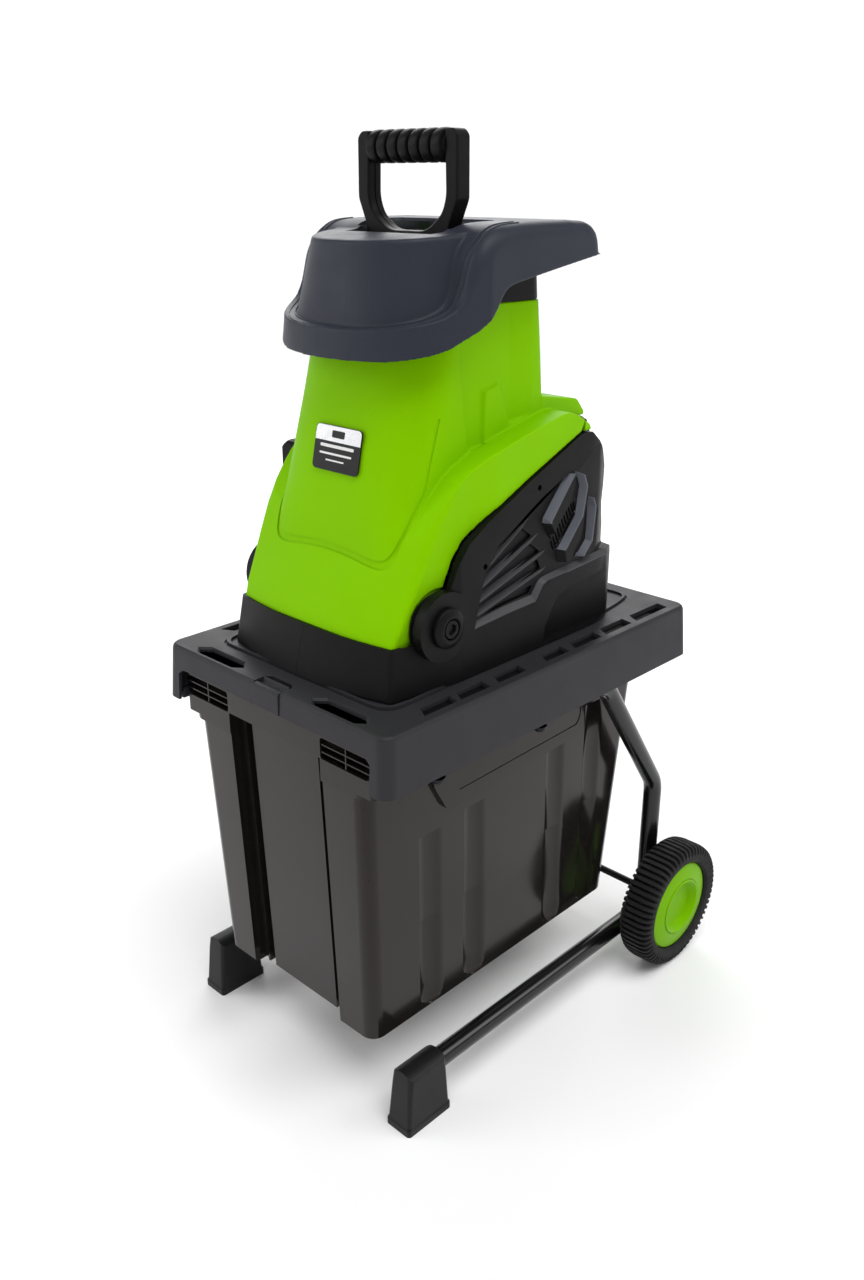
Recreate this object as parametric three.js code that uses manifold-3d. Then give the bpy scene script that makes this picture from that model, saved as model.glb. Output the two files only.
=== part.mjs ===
// Electric garden shredder: a feed head that tilts forward over a knife disc and its belt drive,
// on a deck carried by two bent tubes, with two wheels and a collection box that pulls out.
// Millimetres, +Z up. The box latch is at the front (-Y), the wheels are at the rear (+Y).
import * as THREE from "three";
import { mergeVertices } from "three/addons/utils/BufferGeometryUtils.js";
import Module from "manifold-3d";

const wasm = await Module();
wasm.setup();

// ---------------------------------------------------------------- driving dimensions

const GAP = 0.3; // left between pieces that touch
const WALL = 3; // thickness of the moulded shells

const wheel = { radius: 80, width: 43, inner: 173, y: 217, hub: 57, ribs: 24, groove: 3 };
const axle = { radius: 4.5, end: 203 };
const tube = { radius: 11, bore: 9.5, x: 158, low: 53, high: 406, rear: 219, bend: 40 };
const tubeEnds = { foot: -214, deck: -200, kneeLow: 235, kneeHigh: 101 };
const tubeBolt = { rows: [-167, -12], radius: 3, hole: 3.4, head: 8, top: 440 };
const foot = { width: 37, front: -229, back: -168, height: 70 };
const deck = { halfX: 169, halfY: 245, flare: 4, top: 465, bottom: 404, plate: 5, corner: 14 };
const deckWindow = { halfX: 150, top: 440 }; // the front skirt is raised between its pillars
const chipHole = { halfX: 95, front: -140, back: 100 };
const rail = { inner: 136, web: 144, outer: 146.5, bottom: 405, front: -225, back: 200 };
const box = {
  bottom: { z: 88, halfX: 124, front: -227, back: 175 },
  band: { z: 387, halfX: 132 },
  rim: { z: 404, top: 436, halfX: 134, bandHalfX: 140, front: -240, back: 205 },
  lip: { halfX: 143, bottom: 409, top: 413 },
  corner: 16,
};
const latch = { halfX: 20, front: -247, back: -230, bottom: 440 };

const pivot = { y: -128, z: 530, ring: 35, bolt: 4, head: 10 };
const housing = { innerX: 121.5, outerX: 130, topX: 126, footX: 116, lip: 517 };
const head = { bottom: 510, towerTop: 818 };
const chute = { halfX: 62, y: -36, halfY: 40, top: 868 };
const drive = { y: -55, z: 575, tilt: 50, disc: 90, centres: 90, motor: 41 }; // tilt in degrees
const handle = { y: -38, halfY: 8, top: 967, foot: 889 };

// The edge where the green head rests on the black housing, as [y, z] along the side.
const splitLine = [
  [-119, 561],
  [-108, 588],
  [-95, 605],
  [-67, 621],
  [-3, 650],
  [81, 685],
];

// ---------------------------------------------------------------- shape helpers

// A closed geometry as a solid that can be cut and joined.
function solid(geometry) {
  const flat = geometry.index ? geometry.toNonIndexed() : geometry;
  const bare = new THREE.BufferGeometry();
  bare.setAttribute("position", flat.getAttribute("position"));
  const merged = mergeVertices(bare, 1e-4);
  const triVerts = new Uint32Array(merged.index.array);
  const vertProperties = merged.attributes.position.array;
  const made = new wasm.Manifold(new wasm.Mesh({ numProp: 3, vertProperties, triVerts }));
  if (made.volume() > 0) return made;
  triVerts.reverse();
  return new wasm.Manifold(new wasm.Mesh({ numProp: 3, vertProperties, triVerts }));
}

function geometryOf(shape) {
  const mesh = shape.getMesh();
  const geometry = new THREE.BufferGeometry();
  geometry.setAttribute("position", new THREE.BufferAttribute(mesh.vertProperties, 3));
  geometry.setIndex(new THREE.BufferAttribute(mesh.triVerts, 1));
  geometry.computeVertexNormals();
  return geometry;
}

const X = new THREE.Vector3(1, 0, 0);
const Y = new THREE.Vector3(0, 1, 0);
const Z = new THREE.Vector3(0, 0, 1);
const towards = {
  x: new THREE.Matrix4().makeBasis(Y, Z, X),
  y: new THREE.Matrix4().makeBasis(X, Z, Y.clone().negate()),
  z: new THREE.Matrix4(),
};
const points = (pairs) => pairs.map(([a, b]) => new THREE.Vector2(a, b));

// An outline pushed along an axis: [y, z] pairs along x, [x, z] pairs along y, [x, y] along z.
function prism(axis, outline, from, to, holes = []) {
  const shape = new THREE.Shape(points(outline));
  shape.holes = holes.map((hole) => new THREE.Path(points(hole)));
  const geometry = new THREE.ExtrudeGeometry(shape, { depth: to - from, bevelEnabled: false });
  geometry.applyMatrix4(towards[axis]);
  const start = new THREE.Vector3(0, 0, 0);
  start[axis] = axis === "y" ? to : from;
  geometry.translate(start.x, start.y, start.z);
  return solid(geometry);
}

function arc(a, b, radius, from, to, steps) {
  return Array.from({ length: steps + 1 }, (_, i) => {
    const angle = THREE.MathUtils.degToRad(from + ((to - from) * i) / steps);
    return [a + radius * Math.cos(angle), b + radius * Math.sin(angle)];
  });
}

const circle = (a, b, radius, sides) => arc(a, b, radius, 0, 360, sides).slice(0, -1);

const rod = (axis, a, b, radius, from, to, sides = 16) =>
  prism(axis, circle(a, b, radius, sides), from, to);

const ring = (axis, a, b, radius, bore, from, to, sides = 16, boreSides = 16) =>
  prism(axis, circle(a, b, radius, sides), from, to, [circle(a, b, bore, boreSides)]);

const rectangle = (a0, a1, b0, b1) => [
  [a0, b0],
  [a1, b0],
  [a1, b1],
  [a0, b1],
];

const block = (x0, x1, y0, y1, z0, z1) => prism("z", rectangle(x0, x1, y0, y1), z0, z1);

function roundRect(a0, a1, b0, b1, radius, steps = 3) {
  return [
    ...arc(a1 - radius, b0 + radius, radius, -90, 0, steps),
    ...arc(a1 - radius, b1 - radius, radius, 0, 90, steps),
    ...arc(a0 + radius, b1 - radius, radius, 90, 180, steps),
    ...arc(a0 + radius, b0 + radius, radius, 180, 270, steps),
  ];
}

// Horizontal rings of equally many points, joined level by level and closed at both ends.
function loft(levels) {
  const position = [];
  const index = [];
  const count = levels[0].ring.length;
  levels.forEach(({ z, ring: edge }) => edge.forEach(([x, y]) => position.push(x, y, z)));
  for (let level = 0; level < levels.length - 1; level++)
    for (let i = 0; i < count; i++) {
      const a = level * count + i;
      const b = level * count + ((i + 1) % count);
      index.push(a, b, b + count, a, b + count, a + count);
    }
  const cap = (edge, first, flip) =>
    THREE.ShapeUtils.triangulateShape(points(edge), []).forEach(([a, b, c]) =>
      flip ? index.push(first + a, first + c, first + b) : index.push(first + a, first + b, first + c),
    );
  cap(levels[0].ring, 0, true);
  cap(levels.at(-1).ring, (levels.length - 1) * count, false);
  const geometry = new THREE.BufferGeometry();
  geometry.setAttribute("position", new THREE.Float32BufferAttribute(position, 3));
  geometry.setIndex(index);
  return solid(geometry);
}

// A profile of [radius, height] turned about +Z.
function lathe(profile, sides = 16) {
  const geometry = new THREE.LatheGeometry(points(profile), sides);
  geometry.rotateX(Math.PI / 2);
  return solid(geometry);
}

// The same piece on the other side of the machine.
const mirrored = (shape) => shape.mirror([1, 0, 0]);

const root = new THREE.Group();
const driveGroup = new THREE.Group();

function piece(name, shape, finish, parent = root) {
  const mesh = new THREE.Mesh(geometryOf(shape), finish.clone());
  mesh.name = name;
  parent.add(mesh);
  return mesh;
}

// A piece on the +X side as NAME_right and its mirror image as NAME_left.
function pair(name, shape, finish) {
  piece(name + "_right", shape, finish);
  piece(name + "_left", mirrored(shape), finish);
}

const finishOf = (color, roughness, metalness) =>
  new THREE.MeshStandardMaterial({ color, roughness, metalness, flatShading: true });
const finish = {
  green: finishOf(0x8acd00, 0.5, 0),
  hood: finishOf(0x3e404b, 0.6, 0),
  charcoal: finishOf(0x3f4043, 0.55, 0),
  gloss: finishOf(0x2c2929, 0.2, 0),
  black: finishOf(0x1d1d1e, 0.5, 0),
  frame: finishOf(0x17171a, 0.3, 0.2),
  tyre: finishOf(0x151515, 0.85, 0),
  accent: finishOf(0x5f6473, 0.5, 0),
  steel: finishOf(0xb4b6ba, 0.35, 1),
  zinc: finishOf(0x8f9296, 0.4, 1),
  alloy: finishOf(0xa9acb0, 0.45, 1),
  copper: finishOf(0xa8623a, 0.4, 1),
  red: finishOf(0xb01818, 0.45, 0),
  rubber: finishOf(0x111111, 0.9, 0),
  plate: finishOf(0xc8cacc, 0.3, 0.6),
};

// ---------------------------------------------------------------- frame, feet and wheels

// A path of straight runs and round bends in the plane x = constant.
class BentPath extends THREE.Curve {
  constructor(corners, bend, x) {
    super();
    this.stops = corners.flatMap((corner, i) => {
      const before = corners[i - 1];
      const after = corners[i + 1];
      return before && after ? bendAt(before, corner, after, bend) : [corner];
    });
    this.stops = this.stops.map(([y, z]) => new THREE.Vector3(x, y, z));
  }
  getPoint(t) {
    return this.stops[Math.round(t * (this.stops.length - 1))].clone();
  }
  getSpacedPoints() {
    return this.stops.map((stop) => stop.clone());
  }
  getTangentAt(t) {
    const i = Math.round(t * (this.stops.length - 1));
    const ahead = this.stops[Math.min(i + 1, this.stops.length - 1)];
    const behind = this.stops[Math.max(i - 1, 0)];
    const out = ahead.clone().sub(this.stops[i]).normalize();
    const back = this.stops[i].clone().sub(behind).normalize();
    return out.add(back).normalize();
  }
}

// Points of the round bend that replaces a corner.
function bendAt(before, corner, after, radius, steps = 5) {
  const at = new THREE.Vector2(...corner);
  const back = new THREE.Vector2(...before).sub(at).normalize();
  const on = new THREE.Vector2(...after).sub(at).normalize();
  const half = Math.acos(back.dot(on)) / 2;
  const middle = back.clone().add(on).normalize();
  const centre = at.clone().addScaledVector(middle, radius / Math.sin(half));
  const start = at.clone().addScaledVector(back, radius / Math.tan(half)).sub(centre);
  const turn = (2 * half - Math.PI) * Math.sign(start.cross(back));
  return Array.from({ length: steps + 1 }, (_, i) => {
    const spoke = start.clone().rotateAround(new THREE.Vector2(), (turn * i) / steps).add(centre);
    return [spoke.x, spoke.y];
  });
}

function frameTube() {
  const path = new BentPath(
    [
      [tubeEnds.foot, tube.low],
      [tube.rear, tube.low],
      [tube.rear, tubeEnds.kneeLow],
      [tubeEnds.kneeHigh, tube.high],
      [tubeEnds.deck, tube.high],
    ],
    tube.bend,
    tube.x,
  );
  const section = new THREE.Shape(points(circle(0, 0, tube.radius, 12)));
  section.holes = [new THREE.Path(points(circle(0, 0, tube.bore, 8)))];
  const steps = path.stops.length - 1;
  const run = solid(new THREE.ExtrudeGeometry(section, { extrudePath: path, steps }));
  const axleHole = rod("x", wheel.y, wheel.radius, axle.radius + GAP, tube.x - 20, tube.x + 20, 12);
  const boltHoles = tubeBolt.rows.map((y) =>
    rod("z", tube.x, y, tubeBolt.hole, tube.high - 20, tube.high + 20, 8),
  );
  return [axleHole, ...boltHoles].reduce((shape, hole) => shape.subtract(hole), run);
}

function footShape() {
  const x0 = tube.x + 2.5 - foot.width / 2;
  const x1 = x0 + foot.width;
  const middle = (x0 + x1) / 2;
  const front = [
    [x0, 0],
    [x1, 0],
    [x1, 7],
    [x1 - 2, 9],
    ...arc(middle, foot.height - 15, 15, 0, 180, 8),
    [x0 + 2, 9],
    [x0, 7],
  ];
  const side = [
    [foot.front, 0],
    [foot.back, 0],
    [foot.back, 8],
    [foot.back - 4, foot.height + 1],
    [foot.front + 9, foot.height + 1],
    [foot.front + 5, foot.height - 8],
    [foot.front, 8],
  ];
  const body = prism("y", front, foot.front, foot.back).intersect(prism("x", side, x0, x1));
  const socket = tube.radius + GAP;
  return body.subtract(rod("y", tube.x, tube.low, socket, tubeEnds.foot - GAP, foot.back + 1, 16));
}

function tyreShape() {
  const pitch = 360 / wheel.ribs;
  const tread = Array.from({ length: wheel.ribs }, (_, i) => [
    ...arc(wheel.y, wheel.radius, wheel.radius, (i - 0.3) * pitch, (i + 0.3) * pitch, 1),
    ...arc(
      wheel.y,
      wheel.radius,
      wheel.radius - wheel.groove,
      (i + 0.34) * pitch,
      (i + 0.66) * pitch,
      1,
    ),
  ]).flat();
  const bore = circle(wheel.y, wheel.radius, wheel.hub + 1, 24);
  const outer = wheel.inner + wheel.width;
  const body = prism("x", tread, wheel.inner, outer, [bore]);
  const chamfer = lathe(
    [
      [wheel.hub - 5, 0],
      [wheel.radius - 6, 0],
      [wheel.radius + 1, 9],
      [wheel.radius + 1, wheel.width - 9],
      [wheel.radius - 6, wheel.width],
      [wheel.hub - 5, wheel.width],
      [wheel.hub - 5, 0],
    ],
    24,
  );
  const turned = chamfer.rotate([0, 90, 0]).translate([wheel.inner, wheel.y, wheel.radius]);
  return body.intersect(turned);
}

const hubCap = { radius: 36, outer: 209 };

function hubShape() {
  const outer = wheel.inner + wheel.width;
  const bore = axle.radius + 0.4;
  const profile = [
    [bore, wheel.inner + 2],
    [13, wheel.inner + 2],
    [13, 190],
    [50, 186],
    [50, wheel.inner + 6],
    [wheel.hub, wheel.inner + 4],
    [wheel.hub, outer - 5],
    [wheel.hub - 3, outer - 2],
    [46, outer - 2],
    [42, 206],
    [hubCap.radius + 1, 203],
    [hubCap.radius + 1, 199],
    [20, 196],
    [20, 192],
    [bore, 192],
    [bore, wheel.inner + 2],
  ];
  return lathe(profile, 20).rotate([0, 90, 0]).translate([0, wheel.y, wheel.radius]);
}

function hubCapShape() {
  const r = hubCap.radius;
  const profile = [
    [0, 204.2],
    [18, 204.2],
    [18, 199.6],
    [r, 202],
    [r, 206.5],
    [30, hubCap.outer],
    [16, hubCap.outer - 1.5],
    [0, hubCap.outer - 1.5],
  ];
  return lathe(profile, 20).rotate([0, 90, 0]).translate([0, wheel.y, wheel.radius]);
}

function buildChassis() {
  pair("frame_tube", frameTube(), finish.frame);
  pair("foot", footShape(), finish.black);
  piece("axle", rod("x", wheel.y, wheel.radius, axle.radius, -axle.end, axle.end, 12), finish.zinc);
  pair("tyre", tyreShape(), finish.tyre);
  pair("wheel_hub", hubShape(), finish.green);
  pair("hub_cap", hubCapShape(), finish.green);
  const clip = ring("x", wheel.y, wheel.radius, 9, axle.radius + GAP, 193, 195.5, 12);
  pair("axle_clip", clip, finish.steel);
}

// ---------------------------------------------------------------- deck, rails, box and latch

const sideSlots = [
  [-184, -138],
  [-134, -91],
  [-79, -36],
  [-4, 35],
  [45, 92],
  [100, 148],
  [157, 219],
];
const frontPockets = { near: 55, far: 130, front: -239, back: -222 };

function deckShape() {
  const outline = (extra) =>
    roundRect(
      -deck.halfX - extra,
      deck.halfX + extra,
      -deck.halfY - extra,
      deck.halfY + extra,
      deck.corner,
    );
  const under = deck.top - deck.plate;
  let shape = loft([
    { z: deck.bottom, ring: outline(deck.flare) },
    { z: deck.top - 4, ring: outline(0.3) },
    { z: deck.top, ring: outline(-3) },
  ]);
  shape = shape.subtract(
    loft([
      { z: deck.bottom - 1, ring: outline(deck.flare - WALL) },
      { z: under, ring: outline(-WALL - 1) },
    ]),
  );
  const { rows, hole: holeRadius, head: bossRadius, top } = tubeBolt;
  rows.forEach((y) => {
    const boss = (x) => rod("z", x, y, bossRadius, tube.high + tube.radius + GAP, under + 1, 12);
    const hole = (x) => rod("z", x, y, holeRadius, tube.high, top + 1, 8);
    shape = shape.add(boss(tube.x)).add(boss(-tube.x));
    shape = shape.subtract(hole(tube.x)).subtract(hole(-tube.x));
  });
  const through = [under - 1, deck.top + 1];
  const opening = roundRect(-chipHole.halfX, chipHole.halfX, chipHole.front, chipHole.back, 12);
  const cuts = [
    prism("z", opening, ...through),
    block(-deckWindow.halfX, deckWindow.halfX, -260, -235, deck.bottom - 1, deckWindow.top),
    block(-latch.halfX - 1, latch.halfX + 1, -260, latch.back + 1, deckWindow.top - 1, 470),
  ];
  sideSlots.forEach(([front, back]) => {
    const slot = [
      [143, front + 10],
      [157, front + 2],
      [157, back - 2],
      [143, back + 1],
    ];
    const cut = prism("z", slot, ...through);
    cuts.push(cut, mirrored(cut));
  });
  const { near, far, front, back } = frontPockets;
  const middle = (front + back) / 2;
  const pocket = [
    [near, middle],
    [near + 9, front],
    [far - 9, front],
    [far, middle],
    [far - 9, back],
    [near + 9, back],
  ];
  const cut = prism("z", pocket, ...through);
  cuts.push(cut, mirrored(cut));
  return cuts.reduce((left, tool) => left.subtract(tool), shape);
}

function railShape() {
  const under = deck.top - deck.plate - GAP;
  const outline = [
    [rail.inner, rail.bottom],
    [rail.outer, rail.bottom],
    [rail.outer, under - 3],
    [rail.outer + 3, under - 3],
    [rail.outer + 3, under],
    [rail.web - 8, under],
    [rail.web - 8, under - 3],
    [rail.web, under - 3],
    [rail.web, rail.bottom + 3],
    [rail.inner, rail.bottom + 3],
  ];
  return prism("y", outline, rail.front, rail.back);
}

function tubeBoltShape(y) {
  const seat = tube.high - tube.radius - GAP;
  const { radius, head: headRadius, top } = tubeBolt;
  const profile = [
    [0, seat - 7],
    [5, seat - 6],
    [headRadius, seat - 2.5],
    [headRadius, seat],
    [radius, seat],
    [radius, top],
    [0, top],
  ];
  return lathe(profile, 12).translate([tube.x, y, 0]);
}

const boxFlutes = {
  top: [-147, -80, 54, 123],
  bottom: [-138, -70, 68, 133],
  topHalf: 17,
  bottomHalf: 20,
  low: 92,
  high: 345,
  depth: 5,
};

function boxSection(z, inset) {
  const { bottom, rim } = box;
  const t = (z - bottom.z) / (rim.z - bottom.z);
  const at = (a, b) => a + (b - a) * t;
  const halfX = at(bottom.halfX, box.band.halfX) - inset;
  const front = at(bottom.front, rim.front) + inset;
  const back = at(bottom.back, rim.back) - inset;
  return roundRect(-halfX, halfX, front, back, box.corner - inset);
}

// Half width of the box's outer wall at a height.
function boxWall(z) {
  const t = (z - box.bottom.z) / (box.rim.z - box.bottom.z);
  return box.bottom.halfX + (box.band.halfX - box.bottom.halfX) * t;
}

// The channel sunk into the outside of the wall.
function fluteCut(i) {
  const { top, bottom, topHalf, bottomHalf, low, high, depth } = boxFlutes;
  const ringAt = (z, middle, half, deep) =>
    rectangle(boxWall(z) - deep, boxWall(z) + 8, middle - half, middle + half);
  return loft([
    { z: low, ring: ringAt(low, bottom[i], bottomHalf, depth) },
    { z: high - 10, ring: ringAt(high - 10, top[i], topHalf, depth) },
    { z: high, ring: ringAt(high, top[i], topHalf, 0) },
  ]);
}

// The wall that backs a channel on the inside.
function fluteBack(i) {
  const { top, bottom, topHalf, bottomHalf, low, high, depth } = boxFlutes;
  const ringAt = (z, middle, half) => {
    const wall = boxWall(z);
    return rectangle(wall - depth - WALL, wall - 1, middle - half - WALL, middle + half + WALL);
  };
  return loft([
    { z: box.bottom.z + 1, ring: ringAt(low, bottom[i], bottomHalf) },
    { z: high, ring: ringAt(high, top[i], topHalf) },
  ]);
}

function boxShape() {
  const { bottom, band, rim, lip } = box;
  const bandRing = (half, front, back) => roundRect(-half, half, front, back, box.corner);
  let shape = loft([
    { z: bottom.z, ring: boxSection(bottom.z, 0) },
    { z: band.z, ring: boxSection(band.z, 0) },
  ]);
  const upper = [
    [band.z, rim.z, rim.bandHalfX, rim.front, rim.back],
    [rim.z, rim.top, rim.halfX, rim.front + 1, rim.back],
    [lip.bottom, lip.top, lip.halfX, rail.front + 6, rim.back],
  ];
  upper.forEach(([low, high, half, front, back]) => {
    const layer = prism("z", bandRing(half, front, back), low - 0.5, high);
    shape = shape.add(layer);
  });
  const grip = block(-147, 147, rim.front, rim.front + 8, rim.z - 10, rim.top);
  shape = shape.add(grip);
  const inside = loft([
    { z: bottom.z + WALL, ring: boxSection(bottom.z, WALL) },
    { z: rim.top + 1, ring: boxSection(rim.top, WALL + 1) },
  ]);
  shape = shape.subtract(inside);
  for (let i = 0; i < boxFlutes.top.length; i++) {
    shape = shape.add(fluteBack(i)).add(mirrored(fluteBack(i)));
    shape = shape.subtract(fluteCut(i)).subtract(mirrored(fluteCut(i)));
  }
  [-1, 1].forEach((side) => {
    const pocketX = [side * 70, side * 143].sort((a, b) => a - b);
    shape = shape.subtract(block(...pocketX, rim.front - 1, rim.front + 5, rim.z + 4, rim.top - 5));
    const channelX = [side * 66, side * 52].sort((a, b) => a - b);
    shape = shape.subtract(block(...channelX, -260, rim.front + 2.2, 250, band.z - 4));
  });
  return shape;
}

function latchShape() {
  const outline = [
    [latch.front, latch.bottom],
    [latch.back, latch.bottom],
    [latch.back, deck.top + 1],
    [latch.back - 3, deck.top + 2],
    [latch.back - 6, deck.top - 4],
    [latch.front + 4, deck.top - 3],
    [latch.front, deck.top - 1],
  ];
  const body = prism("x", outline, -latch.halfX, latch.halfX);
  return body.add(block(-8, 8, latch.back - 8, latch.back - 2, latch.bottom - 2.5, latch.bottom + 1));
}

function buildDeck() {
  piece("deck", deckShape(), finish.charcoal);
  pair("box_rail", railShape(), finish.black);
  pair("front_tube_bolt", tubeBoltShape(tubeBolt.rows[0]), finish.zinc);
  pair("rear_tube_bolt", tubeBoltShape(tubeBolt.rows[1]), finish.zinc);
  piece("collection_box", boxShape(), finish.gloss);
  piece("box_latch", latchShape(), finish.charcoal);
}

// ---------------------------------------------------------------- lower housing

// Plan of the housing: bowed front, widening sides, rounded rear.
function housingPlan(inset) {
  const front = bowedFront(housing.footX - inset, -208 + inset, -190 + inset, 10, 6);
  return [
    ...front,
    [housing.outerX - inset, -100],
    [housing.outerX - inset, 128],
    ...arc(housing.outerX - 42, 144, 42 - inset, 0, 70, 4),
    [0, 196 - inset],
    ...arc(42 - housing.outerX, 144, 42 - inset, 110, 180, 4),
    [inset - housing.outerX, 128],
    [inset - housing.outerX, -100],
  ];
}

// Points from the left corner to the right corner of a front that bows out in the middle.
function bowedFront(halfX, middle, corner, radius, steps) {
  const across = Array.from({ length: steps + 1 }, (_, i) => {
    const t = (2 * i) / steps - 1;
    return [t * (halfX - radius), middle + (corner - middle) * Math.abs(t) ** 2.2];
  });
  return [[-halfX, corner + radius], ...across, [halfX, corner + radius]];
}

function housingHalf() {
  const split = splitLine.map(([y, z]) => [y, z - GAP * 2]);
  const outerSide = [
    [-215, 465.3],
    [-194.5, housing.lip],
    [-160, housing.lip],
    ...arc(pivot.y, pivot.z, pivot.ring, 195, 105, 6),
    ...split,
    [98, 684],
    [150, 634],
    [138, 597],
    [148, 572],
    [148, 547],
    [186, 515],
    [205, 465.3],
  ];
  const innerSide = [
    [-211, 460],
    [-191, housing.lip + 0.5],
    [-191, 760],
    [94, 760],
    [94, 681],
    [145.5, 632.5],
    [134.5, 597],
    [144.5, 571],
    [144.5, 545],
    [182.5, 513],
    [201, 460],
  ];
  const frontOutline = [
    [0.1, 465.3],
    [118, 465.3],
    [housing.outerX, 505],
    [housing.outerX, 560],
    [housing.topX, 690],
    [0.1, 690],
  ];
  const innerFront = [
    [-200, 460],
    [114, 460],
    [housing.innerX, 500],
    [housing.innerX, 765],
    [-200, 765],
  ];
  const outer = prism("x", outerSide, 0, 140)
    .intersect(prism("z", housingPlan(0), 460, 700))
    .intersect(prism("y", frontOutline, -220, 220));
  const inner = prism("x", innerSide, -5, 140)
    .intersect(prism("z", housingPlan(WALL), 455, 770))
    .intersect(prism("y", innerFront, -220, 220));
  let shape = outer.subtract(inner);
  const boss = rod("x", pivot.y, pivot.z, pivot.ring, housing.innerX, housing.outerX + 2, 24);
  shape = shape.add(boss);
  shape = shape.subtract(rod("x", pivot.y, pivot.z, 25, housing.outerX - 3, 140, 20));
  shape = shape.subtract(rod("x", pivot.y, pivot.z, pivot.bolt + GAP, 110, 140, 12));
  return ventCuts().reduce((left, cut) => left.subtract(cut), shape);
}

// Each louvre as [front y, front z, rear y, rear z] of its middle line.
const louvres = [
  [-61, 575, 0, 608],
  [-68, 557, 14, 588],
  [-73, 542, 28, 569],
  [-75, 528, 30, 548],
];

function ventCuts() {
  return louvres.map(([y0, z0, y1, z1]) => {
    const band = [
      [y0, z0 - 3],
      [y1, z1 - 5],
      [y1, z1 + 5],
      [y0, z0 + 3],
    ];
    return prism("x", band, 110, 140);
  });
}

// Three cranked bars on a backing strip, as [y, z] outlines.
function grilleShape() {
  const bars = [0, 1, 2].map((i) => {
    const shift = 17 * i;
    const drop = 13 * i;
    const bar = [
      [30 + shift, 592 - drop],
      [26 + shift, 608 - drop],
      [56 + shift, 640 - drop],
      [70 + shift, 640 - drop],
      [40 + shift, 606 - drop],
      [42 + shift, 594 - drop],
    ];
    return prism("x", bar, housing.outerX - 0.5, housing.outerX + 2.5);
  });
  const backing = [
    [40, 590],
    [34, 606],
    [62, 632],
    [98, 604],
    [72, 566],
  ];
  const strip = prism("x", backing, housing.outerX - 1, housing.outerX + 0.8);
  return bars.reduce((shape, bar) => shape.add(bar), strip);
}

function pivotBoltShape() {
  const seat = housing.outerX - 3 + GAP;
  const washer = seat + 2.5;
  const shank = rod("x", pivot.y, pivot.z, pivot.bolt, 102, washer + 4, 12);
  const cap = rod("x", pivot.y, pivot.z, pivot.head, washer + GAP, washer + 6, 20);
  const socket = rod("x", pivot.y, pivot.z, 4.6, washer + 3, washer + 7, 6);
  const nut = rod("x", pivot.y, pivot.z, 8, 101, 107.5, 6);
  return shank.add(cap).add(nut).subtract(socket);
}

function buildHousing() {
  const half = housingHalf();
  const pocket = grilleShape();
  const grown = pocket.translate([-GAP, 0, 0]).add(pocket.translate([0, GAP, GAP]));
  const cut = half.subtract(grown).subtract(pocket.translate([0, -GAP, -GAP])).subtract(pocket);
  pair("lower_housing", cut, finish.black);
  pair("side_grille", pocket, finish.accent);
  const seat = housing.outerX - 3 + GAP;
  const washer = ring("x", pivot.y, pivot.z, 19, pivot.bolt + GAP, seat, seat + 2.5, 20);
  pair("pivot_washer", washer, finish.black);
  pair("pivot_bolt", pivotBoltShape(), finish.black);
}

// ---------------------------------------------------------------- tilting head

const tower = [
  { z: 560, halfX: 98, front: -162, back: 80 },
  { z: 590, halfX: 97.5, front: -157, back: 74 },
  { z: 684, halfX: 96, front: -142, back: 60 },
  { z: 772, halfX: 94, front: -118, back: 54 },
  { z: head.towerTop, halfX: 93, front: -107, back: 50 },
];

function towerLoft(inset, extra = 0) {
  return loft(
    tower.map(({ z, halfX, front, back }, i) => ({
      z: z + (i === tower.length - 1 ? extra : 0),
      ring: roundRect(-halfX + inset, halfX - inset, front + inset, back - inset, 22 - inset, 3),
    })),
  );
}

const bodyLevels = [
  { z: 500, halfX: 110, middle: -190.5, corner: -181 },
  { z: 517, halfX: 111, middle: -189.5, corner: -176 },
  { z: 580, halfX: 116, middle: -171, corner: -148 },
  { z: 644, halfX: 118, middle: -150, corner: -120 },
  { z: 730, halfX: 114, middle: -124, corner: -92 },
];

function bodyLoft(inset) {
  return loft(
    bodyLevels.map(({ z, halfX, middle, corner }) => ({
      z,
      ring: [
        ...bowedFront(halfX - inset, middle + inset, corner + inset, 14, 6),
        [halfX - inset, 130],
        [inset - halfX, 130],
      ],
    })),
  );
}

// Moves a piece made about +Z to the rear lug, square to the housing's slope.
const atLock = (shape) => shape.rotate([-45, 0, 0]).translate([0, 112.5, 683]);

function headShape() {
  const seat = splitLine.map(([y, z]) => [y, z + GAP * 2]);
  const shoulder = [
    [97, 694],
    [60, 712],
    [30, 718],
    [-80, 690],
    [-113, 678],
    [-136, 663],
    [-200, 640],
  ];
  const side = [
    [-200, head.bottom],
    [-112, head.bottom],
    [-104, pivot.z],
    [-110, 548],
    ...seat,
    ...shoulder,
  ];
  const rear = [
    [60, 676.5],
    [97, 692],
    [125, 664],
    [129, 668],
    [100, 699],
    [60, 712],
  ];
  const innerShoulder = [
    [120, 480],
    [120, 675],
    [60, 708],
    [30, 714.5],
    [-80, 686.5],
    [-113, 674.5],
    [-136, 659.5],
    [-210, 636],
    [-210, 480],
  ];
  const outer = bodyLoft(0).intersect(prism("x", side, -130, 130));
  const lug = prism("x", rear, -60, 60);
  const inside = bodyLoft(WALL).intersect(prism("x", innerShoulder, -130, 130));
  const body = outer.add(towerLoft(0)).add(lug);
  const seatCut = prism("x", [...seat, [140, 700], [140, 480], [-119, 480]], -130, 130);
  let shape = body.subtract(inside).subtract(towerLoft(WALL, 1));
  shape = shape.subtract(seatCut.subtract(block(-130, 130, 90, 200, 600, 720)));
  const hole = rod("x", pivot.y, pivot.z, pivot.bolt + 0.5, -130, 130, 12);
  return shape.subtract(hole).subtract(atLock(rod("z", 0, 0, 5, -14, 14, 12)));
}

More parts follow.
